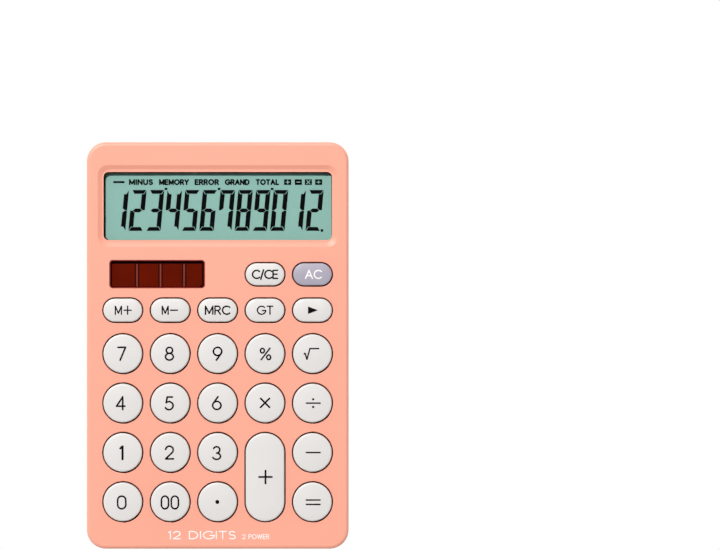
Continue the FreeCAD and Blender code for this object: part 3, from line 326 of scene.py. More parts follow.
def finish(
    name,
    colour,
    roughness,
    spread=0.03,
    grain=0.3,
    depth=0.004,
    patch=20,
    wander=0.06,
    pattern=None,
    **values,
):
    """A material on the grain group. grain, depth and patch are millimetres; wander moves the roughness.
    pattern may turn the plain colour's socket into another one; values are the shader's own."""
    material = bpy.data.materials.new(name)
    material.use_nodes = True
    tree = material.node_tree
    shader = tree.nodes["Principled BSDF"]
    group = step(tree, "ShaderNodeGroup", node_tree=GRAIN)
    group.inputs["Grain size"].default_value = grain * MM
    group.inputs["Patch size"].default_value = patch * MM
    shade = blend(tree, graded(tree, group.outputs["Patches"], 0, 1), *shades(colour, spread))
    if pattern is not None:
        shade = pattern(tree, shade)
    tree.links.new(shade, shader.inputs["Base Color"])
    rough = graded(tree, group.outputs["Marks"], max(0.02, roughness - wander), min(1, roughness + wander))
    tree.links.new(rough, shader.inputs["Roughness"])
    bump = step(tree, "ShaderNodeBump", {"Height": group.outputs["Height"], "Distance": depth * MM})
    tree.links.new(bump.outputs["Normal"], shader.inputs["Normal"])
    for label, value in values.items():
        shader.inputs[label.replace("_", " ")].default_value = value
    return material


def where(tree, axis):
    """One Object coordinate, in metres."""
    place = step(tree, "ShaderNodeTexCoord").outputs["Object"]
    return step(tree, "ShaderNodeSeparateXYZ", {"Vector": place}).outputs[axis]


def stripes(axis, pitch, share, colour, start=0.0):
    """A pattern of lines across an axis: one every pitch millimetres, share of it wide."""

    def pattern(tree, shade):
        turn = maths(tree, "DIVIDE", maths(tree, "SUBTRACT", where(tree, axis), start * MM), pitch * MM)
        line = maths(tree, "LESS_THAN", maths(tree, "FRACT", turn), share)
        return blend(tree, line, shade, colour + (1,))

    return pattern


# %% [markdown]
# Light reaches the bottom of a gap that is only half a millimetre wide very weakly, so the gaps round real
# keys look almost black. The pattern below paints that shade into the colour: it deepens a colour with the
# depth under the face. `inside` gives the stretch of each axis that it covers, which keeps it away from the
# outer walls of the case.


# %% Painted shade in the gaps
def gap_shade(start, end, colour, inside=None):
    """Painted shade: a pattern that turns to a dark colour between two heights over the face, in millimetres.
    """

    def pattern(tree, shade):
        place = step(tree, "ShaderNodeTexCoord").outputs["Object"]
        over = step(tree, "ShaderNodeVectorMath", {0: place, 1: tuple(OUT)}, operation="DOT_PRODUCT")
        height = maths(tree, "SUBTRACT", over.outputs["Value"], face_origin.dot(OUT))
        depth = {"Value": height, "From Min": start * MM, "From Max": end * MM}
        amount = step(tree, "ShaderNodeMapRange", depth).outputs["Result"]
        for axis, (low, high) in (inside or {}).items():
            for operation, limit in (("GREATER_THAN", low), ("LESS_THAN", high)):
                within = maths(tree, operation, where(tree, axis), limit * MM)
                amount = maths(tree, "MULTIPLY", amount, within)
        return blend(tree, amount, shade, colour + (1,))

    return pattern


def case_painted_shade(tree, shade):
    """Painted shade on the case: deep down at the display, and from the very rim of the holes below it."""
    # painted shade deep down in the opening of the display
    display_painted_shade = gap_shade(-1.0, -1.7, (0.05, 0.014, 0.008), {"X": (-49, 49), "Y": (-77, 77)})
    # painted shade from the very rim of the key holes downwards
    hole_painted_shade = gap_shade(-0.03, -0.24, (0.26, 0.010, 0.005), {"X": (-46.5, 46.5), "Y": (-72, 35)})
    return hole_painted_shade(tree, display_painted_shade(tree, shade))


# painted shade on the sides of the keys below the face
key_painted_shade = gap_shade(-0.1, -0.7, (0.11, 0.007, 0.004))
print("shades in the gaps of the case and on the sides of the keys")

# %% [markdown]
# ## The finishes, by the slot names of the record
# The colours are linear, as a shader wants them. The case is pale coral, in one tone for the front and a
# slightly deeper one for the back; the keys are warm white, and the clear key is a grey lilac.

# %% Case, keys and feet
# the keys' pattern paints shade on their sides below the face
KEY_SKIN = {"grain": 0.4, "depth": 0.002, "patch": 12, "pattern": key_painted_shade}
MATERIALS = {
    "front_case_plastic": finish(
        "front_case_plastic",
        (0.79, 0.33, 0.233),
        0.46,
        spread=0.012,
        grain=0.35,
        depth=0.006,
        patch=60,
        # the pattern paints shade into the gaps of the case
        pattern=case_painted_shade,
    ),
    "rear_case_plastic": finish(
        "rear_case_plastic", (0.735, 0.302, 0.215), 0.55, spread=0.02, grain=0.5, depth=0.014, patch=60
    ),
    "key_plastic": finish("key_plastic", (0.628, 0.608, 0.59), 0.36, spread=0.01, **KEY_SKIN),
    "clear_key_plastic": finish("clear_key_plastic", (0.35, 0.323, 0.39), 0.36, spread=0.015, **KEY_SKIN),
    "foot_rubber": finish("foot_rubber", (0.008, 0.008, 0.0075), 0.75, spread=0.25, depth=0.03, patch=4),
}
print("finishes of the outside:", ", ".join(MATERIALS))

# %% [markdown]
# Inside the case there are rubber, foam, wires, a board and metal. They are seen only when the part is
# taken to bits, but each has its own look: the zebra strip really is striped, the board carries copper
# tracks under its varnish, and the battery has a printed sleeve.


# %% Inside pieces
def tracks(tree, shade):
    """Copper tracks under the varnish of a board: a brick pattern of long thin runs."""
    place = step(tree, "ShaderNodeTexCoord").outputs["Object"]
    bricks = step(
        tree,
        "ShaderNodeTexBrick",
        {
            "Vector": place,
            "Scale": 1.0,
            "Brick Width": 9 * MM,
            "Row Height": 1.6 * MM,
            "Mortar Size": 0.25 * MM,
            "Mortar Smooth": 0.0,
        },
        offset=0.37,
    )
    return blend(tree, bricks.outputs["Fac"], shade, (0.30, 0.17, 0.035, 1))


BAND_START = 9 * MM


def sleeve(tree, shade):
    """The printed sleeve of a cell: a wide coloured band at one end."""
    band = maths(tree, "GREATER_THAN", where(tree, "X"), BAND_START)
    return blend(tree, band, shade, (0.62, 0.30, 0.05, 1))


METAL = {"Metallic": 1.0}
MATERIALS |= {
    "gasket_foam": finish("gasket_foam", (0.012, 0.012, 0.012), 0.95, grain=0.4, depth=0.08),
    "holder_plastic": finish("holder_plastic", (0.62, 0.60, 0.55), 0.5),
    "zebra_rubber": finish(
        "zebra_rubber", (0.30, 0.22, 0.20), 0.6, pattern=stripes("X", 0.2, 0.5, (0.01, 0.01, 0.01))
    ),
    "lcd_reflector": finish("lcd_reflector", (0.55, 0.62, 0.58), 0.3, grain=0.15, **METAL),
    "red_wire": finish("red_wire", (0.52, 0.02, 0.015), 0.4, grain=0.6),
    "black_wire": finish("black_wire", (0.012, 0.012, 0.012), 0.4, grain=0.6),
    "keypad_silicone": finish("keypad_silicone", (0.42, 0.42, 0.43), 0.55, grain=0.5),
    "carbon_rubber": finish("carbon_rubber", (0.01, 0.01, 0.011), 0.8, spread=0.2),
    "board_laminate": finish("board_laminate", (0.045, 0.17, 0.05), 0.35, pattern=tracks),
    "chip_resin": finish("chip_resin", (0.006, 0.006, 0.007), 0.25, grain=2, depth=0.05),
    "capacitor_sleeve": finish("capacitor_sleeve", (0.015, 0.03, 0.12), 0.3),
    "diode_glass": finish("diode_glass", (0.55, 0.10, 0.02), 0.1, Coat_Weight=1.0),
    "resistor_ceramic": finish("resistor_ceramic", (0.02, 0.02, 0.025), 0.5),
    "dark_screw_steel": finish("dark_screw_steel", (0.10, 0.095, 0.09), 0.38, grain=0.1, **METAL),
    "screw_steel": finish("screw_steel", (0.55, 0.54, 0.52), 0.3, grain=0.1, **METAL),
    "battery_jacket": finish("battery_jacket", (0.03, 0.03, 0.035), 0.3, pattern=sleeve, Coat_Weight=0.4),
    "nickel_contact": finish("nickel_contact", (0.66, 0.63, 0.57), 0.22, grain=0.2, **METAL),
}
print(len(MATERIALS), "finishes so far")

# %% [markdown]
# The window over the display is clear plastic. Glass that bends light would leave the display dark,
# because a lamp's rays don't find their way through it, so the window is a Transparent shader with a
# little gloss mixed in by Fresnel. The display behind it is grey green, and the solar cell deep red.


# %% Display, window and solar cell
def clear_sheet(name, colour, gloss):
    """Plastic or glass that shows what is behind it, with a gloss on its surface."""
    material = bpy.data.materials.new(name)
    material.use_nodes = True
    tree = material.node_tree
    tree.nodes.remove(tree.nodes["Principled BSDF"])
    group = step(tree, "ShaderNodeGroup", node_tree=GRAIN)
    dull = graded(tree, group.outputs["Patches"], 0.95, 1.0)
    shine = step(tree, "ShaderNodeBsdfGlossy", {"Color": dull, "Roughness": 0.04})
    through = step(tree, "ShaderNodeBsdfTransparent", {"Color": colour + (1,)})
    edge = maths(tree, "MULTIPLY", step(tree, "ShaderNodeFresnel", {"IOR": 1.45}).outputs[0], gloss)
    mixed = step(tree, "ShaderNodeMixShader", {0: edge, 1: through.outputs[0], 2: shine.outputs[0]})
    tree.links.new(mixed.outputs[0], tree.nodes["Material Output"].inputs["Surface"])
    return material


MATERIALS |= {
    "clear_window": clear_sheet("clear_window", (0.985, 0.99, 0.985), 0.3),
    "lcd_glass": finish(
        "lcd_glass",
        (0.245, 0.430, 0.383),
        0.4,
        spread=0.006,
        wander=0.01,
        depth=0.0005,
        Specular_IOR_Level=0.1,
    ),
    "solar_glass": finish(
        "solar_glass", (0.10, 0.0055, 0.0008), 0.16, spread=0.12, patch=9, Specular_IOR_Level=0.12
    ),
}
for kind in frame["record"]["materials"]:
    if kind["slot"] not in MATERIALS:
        raise RuntimeError(f"no finish for {kind['slot']}")
SLOTS = {}
for name, node in NODES.items():
    for place in node.material_slots:
        SLOTS[name] = place.material.name.split(".")[0]
        place.material = MATERIALS[SLOTS[name]]
print(len(MATERIALS), "finishes on", len(NODES), "nodes")

# %% [markdown]
# ## Pieces made by a rule
# A piece that is made again here ends as a plain mesh at the origin, riding on the body of the CAD node
# that it stands for. `grown` runs a Geometry Nodes tree and keeps only the mesh that comes out;
# `add_piece` smooths it, checks that its faces point outwards and hands it to the frame.


# %% From a tree or a mesh to a piece
def grown(name, tree, inputs, start=None):
    """The mesh that a tree makes, from its inputs and sometimes a mesh to start on."""
    holder = bpy.data.objects.new(name, start or bpy.data.meshes.new(name))
    scene.collection.objects.link(holder)
    modifier = holder.modifiers.new("rule", "NODES")
    modifier.node_group = tree
    for socket in tree.interface.items_tree:
        if socket.name in inputs and socket.in_out == "INPUT":
            modifier[socket.identifier] = inputs[socket.name]
    depsgraph = bpy.context.evaluated_depsgraph_get()
    mesh = bpy.data.meshes.new_from_object(holder.evaluated_get(depsgraph), depsgraph=depsgraph)
    bpy.data.objects.remove(holder)
    mesh.name = name
    return mesh


def volume_of(mesh):
    """The volume that a closed mesh encloses; negative if it is inside out."""
    solid = bmesh.new()
    solid.from_mesh(mesh)
    volume = solid.calc_volume(signed=True)
    solid.free()
    return volume


SHARP = math.radians(32)


def add_piece(name, mesh, body, place=FACE, stands_for=()):
    """A finished mesh becomes a piece on a body; place turns its own coordinates into the frame's."""
    mesh.transform(place)
    if volume_of(mesh) < 0:
        mesh.flip_normals()
    mesh.shade_smooth()
    mesh.set_sharp_from_angle(angle=SHARP)
    made = bpy.data.objects.new(name, mesh)
    scene.collection.objects.link(made)
    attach(made, body)
    if stands_for:
        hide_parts(*stands_for)
    return made


# %% [markdown]
# ## Keycaps
# A keycap is a thin shell with a softly crowned top, a rounded rim and a flange that keeps it under the
# skin of the case. All twenty-six have the same side profile, and their outlines are circles and
# stadiums: two half circles joined by straight runs. They could be modelled one by one from cylinders,
# but then three outlines need three sets of loops. The rule here is shorter: carry one profile round the
# outline. A grid of points is enough. Along one side of the grid the profile advances, along the other
# the direction turns a full circle, and each point goes to the outline in its direction, moved inwards
# by the profile's inset. The profile itself is a little mesh: X is the inset and Z the height.

# %% The tree that carries a profile round an outline
CARRIED, carried_in, carried_out = new_group(
    "profile carried round an outline",
    "GeometryNodeTree",
    {
        "Profile": ("Object", None),
        "Profile points": ("Int", 2),
        "Sides": ("Int", 64),
        "Radius": ("Float", 1.0 * MM),
        "Run across": ("Float", 0.0),
        "Run along": ("Float", 0.0),
        "Stem radius": ("Float", 0.0),
        "Stem length": ("Float", 1.0 * MM),
        "Stem middle": ("Vector", (0, 0, 0)),
        "Finish": ("Material", None),
    },
    {"Solid": "Geometry"},
)
print(CARRIED.name, "takes", len(CARRIED.interface.items_tree) - 1, "inputs")

# %% The steps of that tree
given = carried_in.outputs
columns = maths(CARRIED, "ADD", given["Sides"], 1.0)
grid = step(
    CARRIED,
    "GeometryNodeMeshGrid",
    {"Size X": 1.0, "Size Y": 1.0, "Vertices X": columns, "Vertices Y": given["Profile points"]},
)
spot = step(CARRIED, "ShaderNodeSeparateXYZ", {0: step(CARRIED, "GeometryNodeInputPosition").outputs[0]})
half_side = maths(CARRIED, "DIVIDE", math.pi, given["Sides"])
turned = maths(CARRIED, "MULTIPLY_ADD", maths(CARRIED, "ADD", spot.outputs["X"], 0.5), math.tau, half_side)
last = maths(CARRIED, "SUBTRACT", given["Profile points"], 1.0)
along_profile = maths(CARRIED, "ADD", spot.outputs["Y"], 0.5)
row = maths(CARRIED, "ROUND", maths(CARRIED, "MULTIPLY", along_profile, last))
profile = step(CARRIED, "GeometryNodeObjectInfo", {"Object": given["Profile"]})
sampled = step(
    CARRIED,
    "GeometryNodeSampleIndex",
    {
        "Geometry": profile.outputs["Geometry"],
        "Value": step(CARRIED, "GeometryNodeInputPosition").outputs[0],
        "Index": row,
    },
    data_type="FLOAT_VECTOR",
)
inset_and_height = step(CARRIED, "ShaderNodeSeparateXYZ", {0: sampled.outputs["Value"]})
reach = maths(CARRIED, "SUBTRACT", given["Radius"], inset_and_height.outputs["X"])
sides = []
for wave, run in (("COSINE", given["Run across"]), ("SINE", given["Run along"])):
    share = maths(CARRIED, wave, turned)
    shift = maths(CARRIED, "MULTIPLY", maths(CARRIED, "SIGN", share), run)
    sides.append(maths(CARRIED, "MULTIPLY_ADD", share, reach, shift))
placed = step(
    CARRIED,
    "ShaderNodeCombineXYZ",
    {"X": sides[0], "Y": sides[1], "Z": inset_and_height.outputs["Z"]},
)
wrapped = step(
    CARRIED,
    "GeometryNodeSetPosition",
    {"Geometry": grid.outputs["Mesh"], "Position": placed.outputs[0]},
)
closed = step(
    CARRIED, "GeometryNodeMergeByDistance", {"Geometry": wrapped.outputs[0], "Distance": 0.0005 * MM}
)
stem = step(
    CARRIED,
    "GeometryNodeMeshCylinder",
    {"Vertices": 32, "Radius": given["Stem radius"], "Depth": given["Stem length"]},
)
lowered = step(
    CARRIED,
    "GeometryNodeTransform",
    {"Geometry": stem.outputs["Mesh"], "Translation": given["Stem middle"]},
)
has_stem = maths(CARRIED, "GREATER_THAN", given["Stem radius"], 0.0)
optional = step(CARRIED, "GeometryNodeSwitch", {"Switch": has_stem, "True": lowered.outputs[0]})
both = step(CARRIED, "GeometryNodeJoinGeometry")
CARRIED.links.new(closed.outputs[0], both.inputs[0])
CARRIED.links.new(optional.outputs[0], both.inputs[0])
real = step(CARRIED, "GeometryNodeRealizeInstances", {"Geometry": both.outputs[0]})
painted = step(
    CARRIED, "GeometryNodeSetMaterial", {"Geometry": real.outputs[0], "Material": given["Finish"]}
)
CARRIED.links.new(painted.outputs[0], carried_out.inputs["Solid"])
print(len(CARRIED.nodes), "nodes in the tree of the caps")


# %% The profile of a cap, and where each cap is
CAP_CROWN = 0.24 * MM
CAP_ROUNDING = 0.6 * MM
CAP_WALL = 1.3 * MM
CAP_THICKNESS = 1.8 * MM
FLANGE_THICKNESS = 0.9 * MM
STEM_RADIUS = 2.1 * MM
CROWN_RINGS = 10
ROUNDING_RINGS = 8
CAP_SIDES = 96
# what stands higher than this over the face is the cap alone, without its flange
HIGH = 0.2 * MM


def profile_object(points):
    """A line of points as an object, for a tree to read."""
    mesh = bpy.data.meshes.new("profile")
    mesh.from_pydata([(inset, 0, height) for inset, height in points], [], [])
    made = bpy.data.objects.new("profile", mesh)
    scene.collection.objects.link(made)
    return made


def cap_profile(radius, top, flange_low, overhang):
    """Inset and height from the middle of the crown, over the rim and the flange, to inside the cap."""
    points = []
    for n in range(CROWN_RINGS):
        share = n / CROWN_RINGS
        points.append((radius - (radius - CAP_ROUNDING) * share, top - CAP_CROWN * share**2))
    for n in range(ROUNDING_RINGS + 1):
        turn = math.pi / 2 * n / ROUNDING_RINGS
        down = CAP_CROWN + CAP_ROUNDING * (1 - math.cos(turn))
        points.append((CAP_ROUNDING * (1 - math.sin(turn)), top - down))
    flange_top = flange_low + FLANGE_THICKNESS
    ceiling = top - CAP_THICKNESS
    points += [(0, flange_top), (-overhang, flange_top), (-overhang, flange_low)]
    points += [(CAP_WALL, flange_low), (CAP_WALL, ceiling), (radius, ceiling)]
    return points


class Cap:
    """Where a key's cap is and how big it is, measured on its CAD node."""

    def __init__(self, node):
        low, high = face_box(node, above=HIGH)
        flange_low, flange_high = face_box(node)
        self.node = node
        self.middle = Vector(((low.x + high.x) / 2, (low.y + high.y) / 2, 0))
        half = (high - low) / 2
        self.radius = min(half.x, half.y)
        self.run = (half.x - self.radius, half.y - self.radius)
        self.top = high.z
        self.flange_low = flange_low.z
        self.overhang = (flange_high.x - flange_low.x) / 2 - half.x

    def crown(self, x, y):
        """Height of the top face at a point counted from the middle of the cap."""
        across = max(0, abs(x) - self.run[0])
        along = max(0, abs(y) - self.run[1])
        share = math.hypot(across, along) / (self.radius - CAP_ROUNDING)
        return self.top - CAP_CROWN * share**2


# %% Make the caps
KEY_NODES = sorted(name for name in NODES if name.startswith("key_"))
CAPS = {}
for node in KEY_NODES:
    cap = CAPS[node] = Cap(node)
    points = cap_profile(cap.radius, cap.top, cap.flange_low, cap.overhang)
    line = profile_object(points)
    ceiling = cap.top - CAP_THICKNESS
    sizes = {
        "Profile": line,
        "Profile points": len(points),
        "Sides": CAP_SIDES,
        "Radius": cap.radius,
        "Run across": cap.run[0],
        "Run along": cap.run[1],
        "Stem radius": STEM_RADIUS,
        "Stem length": ceiling - cap.flange_low,
        "Stem middle": (0, 0, (ceiling + cap.flange_low) / 2),
        "Finish": MATERIALS[SLOTS[node]],
    }
    mesh = grown(node + "_cap", CARRIED, sizes)
    bpy.data.objects.remove(line)
    add_piece(node + "_cap", mesh, node, FACE @ Matrix.Translation(cap.middle), [node])
print(len(CAPS), "caps;", len(mesh.polygons), "faces in the last one")

# %% [markdown]
# ## Lettering
# The legends are thin strokes of even width, as an engraver's router makes them. A font file would need
# another file and has its own idea of the shapes, so the letters are drawn here as centre lines: a point
# is a pair, and a round stretch is an arc with its centre, radii and two angles. The capital height is 1.


# %% Centre lines of the letters
def arc(x, y, wide, high, start, end, about=15):
    """Points along part of an ellipse, one every so many degrees."""
    count = max(2, round(abs(end - start) / about))
    turns = [math.radians(start + (end - start) * n / count) for n in range(count + 1)]
    return [(x + wide * math.cos(turn), y + high * math.sin(turn)) for turn in turns]


def ring(x, y, wide, high):
    """A whole ellipse."""
    return arc(x, y, wide, high, 0, 360)


ZERO = arc(0.32, 0.68, 0.32, 0.32, 0, 180) + arc(0.32, 0.32, 0.32, 0.32, 180, 360) + [(0.64, 0.68)]
BOW_OF_R = [(0, 0), (0, 1), (0.34, 1)] + arc(0.34, 0.74, 0.26, 0.26, 90, -90) + [(0, 0.48)]
# each letter: its width, then its strokes
LETTERS = {
    "0": (0.64, [ZERO]),
    "1": (0.17, [[(0, 0.85), (0.17, 1), (0.17, 0)]]),
    "2": (0.64, [arc(0.32, 0.70, 0.30, 0.30, 170, -38) + [(0.02, 0), (0.64, 0)]]),
    "3": (0.62, [arc(0.31, 0.75, 0.25, 0.25, 155, -90), arc(0.31, 0.25, 0.31, 0.25, 90, -155)]),
    "4": (0.70, [[(0.52, 0), (0.52, 1), (0, 0.26), (0.70, 0.26)]]),
    "5": (0.62, [[(0.56, 1), (0.16, 1), (0.08, 0.55)] + arc(0.30, 0.32, 0.32, 0.32, 125, -150)]),
    "6": (0.66, [arc(0.33, 0.32, 0.33, 0.32, 150, 510) + [(0.42, 1)]]),
    "7": (0.60, [[(0, 1), (0.60, 1), (0.18, 0)]]),
    "8": (0.62, [ring(0.31, 0.765, 0.25, 0.235), ring(0.31, 0.265, 0.31, 0.265)]),
    "9": (0.66, [arc(0.33, 0.68, 0.33, 0.32, -30, 330) + [(0.24, 0)]]),
    "A": (0.80, [[(0, 0), (0.40, 1), (0.80, 0)], [(0.14, 0.34), (0.66, 0.34)]]),
    "C": (0.84, [arc(0.50, 0.50, 0.50, 0.50, 45, 315)]),
    "D": (0.76, [[(0.26, 0), (0, 0), (0, 1), (0.26, 1)] + arc(0.26, 0.50, 0.50, 0.50, 90, -90)]),
    "E": (0.54, [[(0.54, 1), (0, 1), (0, 0), (0.54, 0)], [(0, 0.52), (0.48, 0.52)]]),
    "G": (0.92, [arc(0.50, 0.50, 0.50, 0.50, 45, 355) + [(0.60, 0.46)]]),
    "I": (0.0, [[(0, 0), (0, 1)]]),
    "L": (0.48, [[(0, 1), (0, 0), (0.48, 0)]]),
    "M": (0.86, [[(0, 0), (0, 1), (0.43, 0.12), (0.86, 1), (0.86, 0)]]),
    "N": (0.70, [[(0, 0), (0, 1), (0.70, 0), (0.70, 1)]]),
    "O": (0.96, [ring(0.48, 0.50, 0.48, 0.50)]),
    "P": (0.58, [[(0, 0), (0, 1), (0.32, 1)] + arc(0.32, 0.74, 0.26, 0.26, 90, -90) + [(0, 0.48)]]),
    "R": (0.62, [BOW_OF_R, [(0.32, 0.48), (0.62, 0)]]),
    "S": (0.56, [arc(0.28, 0.755, 0.26, 0.245, 35, 270) + arc(0.28, 0.255, 0.28, 0.255, 90, -145)]),
    "T": (0.64, [[(0, 1), (0.64, 1)], [(0.32, 1), (0.32, 0)]]),
    "U": (0.66, [[(0, 1), (0, 0.33)] + arc(0.33, 0.33, 0.33, 0.33, 180, 360) + [(0.66, 1)]]),
    "W": (1.10, [[(0, 1), (0.27, 0), (0.55, 1), (0.83, 0), (1.10, 1)]]),
    "Y": (0.70, [[(0, 1), (0.35, 0.46), (0.70, 1)], [(0.35, 0.46), (0.35, 0)]]),
    "/": (0.34, [[(0, -0.12), (0.34, 1.06)]]),
    " ": (0.30, []),
    "+": (1.0, [[(0, 0.5), (1, 0.5)], [(0.5, 0), (0.5, 1)]]),
    "-": (1.0, [[(0, 0.5), (1, 0.5)]]),
    "=": (1.0, [[(0, 0.34), (1, 0.34)], [(0, 0.66), (1, 0.66)]]),
    "x": (1.0, [[(0, 0), (1, 1)], [(0, 1), (1, 0)]]),
    "divide": (1.0, [[(0, 0.5), (1, 0.5)], ring(0.5, 0.78, 0.03, 0.03), ring(0.5, 0.22, 0.03, 0.03)]),
    "percent": (1.0, [ring(0.20, 0.79, 0.19, 0.20), ring(0.80, 0.21, 0.19, 0.20), [(0.08, 0), (0.92, 1)]]),
    "root": (1.4, [[(0, 0.50), (0.09, 0.56), (0.26, 0.03), (0.56, 0.97), (1.4, 0.97)]]),
    "point": (0.0, [[(0, 0.499), (0, 0.501)]]),
}
print(len(LETTERS), "letters and signs")

# %% [markdown]
# A stroke becomes a band of four-sided pieces with rounded ends, and a round spot fills each sharp
# corner. Where bands cross they would overlap, so the constrained triangulation that Blender brings with
# it merges them into one flat shape. The shape is then given a thickness and laid on its surface: ink
# stands a few hundredths of a millimetre proud, which is enough to catch the light as printing does.

# %% From centre lines to triangles
INK = 0.03 * MM
ROOTED = 0.05 * MM
LONGEST = 0.8
CORNER = math.radians(35)
SPOT_SIDES = 14
SPOT = [(math.cos(math.tau * n / SPOT_SIDES), math.sin(math.tau * n / SPOT_SIDES)) for n in range(SPOT_SIDES)]
# corners nearer than this, in millimetres, become one
SNAP = 1e-4


def divided(points):
    """The same line with no run longer than LONGEST, and none of no length."""
    line = [points[0]]
    for start, end in zip(points, points[1:]):
        count = math.ceil(round(math.dist(start, end), 6) / LONGEST)
        for n in range(1, count + 1):
            line.append(tuple(a + (b - a) * n / count for a, b in zip(start, end)))
    return line


def bands(points, half):
    """Polygons that cover a stroke: bands along its smooth stretches, and spots at ends and corners."""
    line = [Vector(point) for point in divided(points)]
    ways = [(b - a).normalized() for a, b in zip(line, line[1:])]
    stops = [0] + [n for n in range(1, len(ways)) if ways[n - 1].angle(ways[n]) > CORNER] + [len(ways)]
    shapes = []
    for start, end in zip(stops, stops[1:]):
        edges = []
        for n in range(start, end + 1):
            before = ways[max(n - 1, start)]
            after = ways[min(n, end - 1)]
            middle = (before + after).normalized()
            side = Vector((-middle.y, middle.x)) * half / middle.dot(after)
            edges.append((line[n] + side, line[n] - side))
        for (left, right), (next_left, next_right) in zip(edges, edges[1:]):
            shapes.append([right, next_right, next_left, left])
    for n in stops:
        shapes.append([line[n] + Vector((half * x, half * y)) for x, y in SPOT])
    return shapes


def merged(shapes):
    """One triangulation of overlapping polygons: its points and its triangles."""
    corners = [corner for shape in shapes for corner in shape]
    faces, first = [], 0
    for shape in shapes:
        faces.append(list(range(first, first + len(shape))))
        first += len(shape)
    points, _, triangles, _, _, sources = delaunay_2d_cdt(corners, [], faces, 1, SNAP)
    return points, [face for face, source in zip(triangles, sources) if source]


# %% From triangles to a thin solid, and from a text to strokes
def laid_on(points, triangles, surface, ink=INK):
    """A thin closed solid over a triangulation in millimetres, following a surface."""
    used = sorted({corner for face in triangles for corner in face})
    number = {corner: n for n, corner in enumerate(used)}
    count = len(used)
    flat = [(points[corner][0] * MM, points[corner][1] * MM) for corner in used]
    corners = [(x, y, surface(x, y) + height) for height in (ink, -ROOTED) for x, y in flat]
    faces = [[number[corner] for corner in face] for face in triangles]
    sides = {(a, b) for face in faces for a, b in zip(face, face[1:] + face[:1])}
    walls = [(a + count, b + count, b, a) for a, b in sorted(sides) if (b, a) not in sides]
    floor = [[corner + count for corner in reversed(face)] for face in faces]
    mesh = bpy.data.meshes.new("ink")
    mesh.from_pydata(corners, [], faces + floor + walls)
    return mesh


def words(text, height, stroke, spacing=0.26, about=(0, 0), width=None):
    """The polygons of a line of text in millimetres, centred on a point."""
    letters = [text] if text in LETTERS else list(text)
    total = sum(LETTERS[letter][0] for letter in letters) + spacing * (len(letters) - 1)
    wide = width / total if width else height
    shapes, start = [], about[0] - total * wide / 2
    for letter in letters:
        across, strokes = LETTERS[letter]
        for points in strokes:
            line = [(start + x * wide, about[1] + (y - 0.5) * height) for x, y in points]
            shapes += bands(line, stroke / 2)
        start += (across + spacing) * wide
    return shapes


# %% [markdown]
# ## Key legends
# The figures are 5 mm high and the words on the small keys 3.15 mm, all in black ink with one exception:
# the clear key has white ink. The arrow of the backspace key is a plain filled triangle.

# %% Print the legends
MATTE = {"roughness": 0.6, "grain": 0.1, "depth": 0.001, "Specular_IOR_Level": 0.03}
MATERIALS["black_ink"] = finish("black_ink", (0.003, 0.003, 0.003), spread=0.2, **MATTE)
MATERIALS["white_ink"] = finish("white_ink", (0.80, 0.79, 0.78), spread=0.01, **MATTE)


def add_ink(name, shapes, surface, ink_name, ink=INK, body="root", place=FACE):
    """Flat polygons, given a thickness on a surface, as a piece; gives back its number of faces."""
    mesh = laid_on(*merged(shapes), surface, ink)
    mesh.materials.append(MATERIALS[ink_name])
    add_piece(name, mesh, body, place)
    return len(mesh.polygons)


def level(height):
    """A surface that is flat, at one height over the face."""
    return lambda x, y: height


FIGURE = {"height": 5.0, "stroke": 0.66}
WORD = {"height": 3.15, "stroke": 0.52}
SIGN_STROKE = 0.58
# each key's text and its style; about moves it from the middle of the cap, in millimetres
LEGENDS = {
    "key_0": ("0", FIGURE | {"about": (-0.4, -0.2)}),
    "key_00": ("00", FIGURE | {"about": (-0.1, -0.2), "spacing": 0.25, "width": 6.7}),
    "key_1": ("1", FIGURE | {"about": (-0.5, -0.1), "stroke": 0.85}),
    "key_2": ("2", FIGURE | {"about": (-0.3, 0)}),
    "key_3": ("3", FIGURE | {"about": (-0.4, -0.2)}),
    "key_4": ("4", FIGURE | {"about": (-0.8, 0), "width": 3.3}),
    "key_5": ("5", FIGURE | {"about": (-0.4, -0.1)}),
    "key_6": ("6", FIGURE | {"about": (-0.3, 0)}),
    "key_7": ("7", FIGURE | {"about": (-0.4, 0)}),
    "key_8": ("8", FIGURE | {"about": (-0.3, 0)}),
    "key_9": ("9", FIGURE),
    "key_memory_plus": ("M+", WORD | {"about": (0.2, 0), "spacing": 0.38, "width": 6.2}),
    "key_memory_minus": ("M-", WORD | {"about": (-0.1, 0), "spacing": 0.38, "width": 6.0}),
    "key_memory_recall": ("MRC", WORD | {"width": 9.5, "stroke": 0.58}),
    "key_grand_total": ("GT", WORD | {"width": 6.0}),
    "key_clear_entry": ("C/CE", WORD | {"spacing": 0.16, "width": 9.8, "stroke": 0.6}),
    "key_all_clear": ("AC", WORD | {"about": (0.4, 0), "spacing": 0.22, "width": 6.2}),
    "key_percent": ("percent", {"about": (0.2, -0.1), "height": 4.5, "stroke": 0.62, "width": 4.1}),
    "key_root": ("root", {"about": (-0.4, -0.1), "height": 4.5, "stroke": 0.55, "width": 5.7}),
    "key_times": ("x", {"about": (0, 0.1), "height": 3.5, "stroke": 0.7}),
    "key_divide": ("divide", {"about": (0.3, 0), "height": 5.4, "stroke": SIGN_STROKE}),
    "key_minus": ("-", {"about": (0.3, 0), "height": 5.4, "stroke": SIGN_STROKE}),
    "key_equals": ("=", {"about": (0.3, -0.1), "height": 5.4, "stroke": SIGN_STROKE}),
    "key_plus": ("+", {"about": (0.2, 0.1), "height": 5.0, "stroke": 0.74}),
    "key_point": ("point", {"about": (-0.1, 0), "height": 5, "stroke": 1.6}),
}
ARROW = [Vector((-1.75, 1.5)), Vector((-1.75, -1.5)), Vector((2.15, 0))]


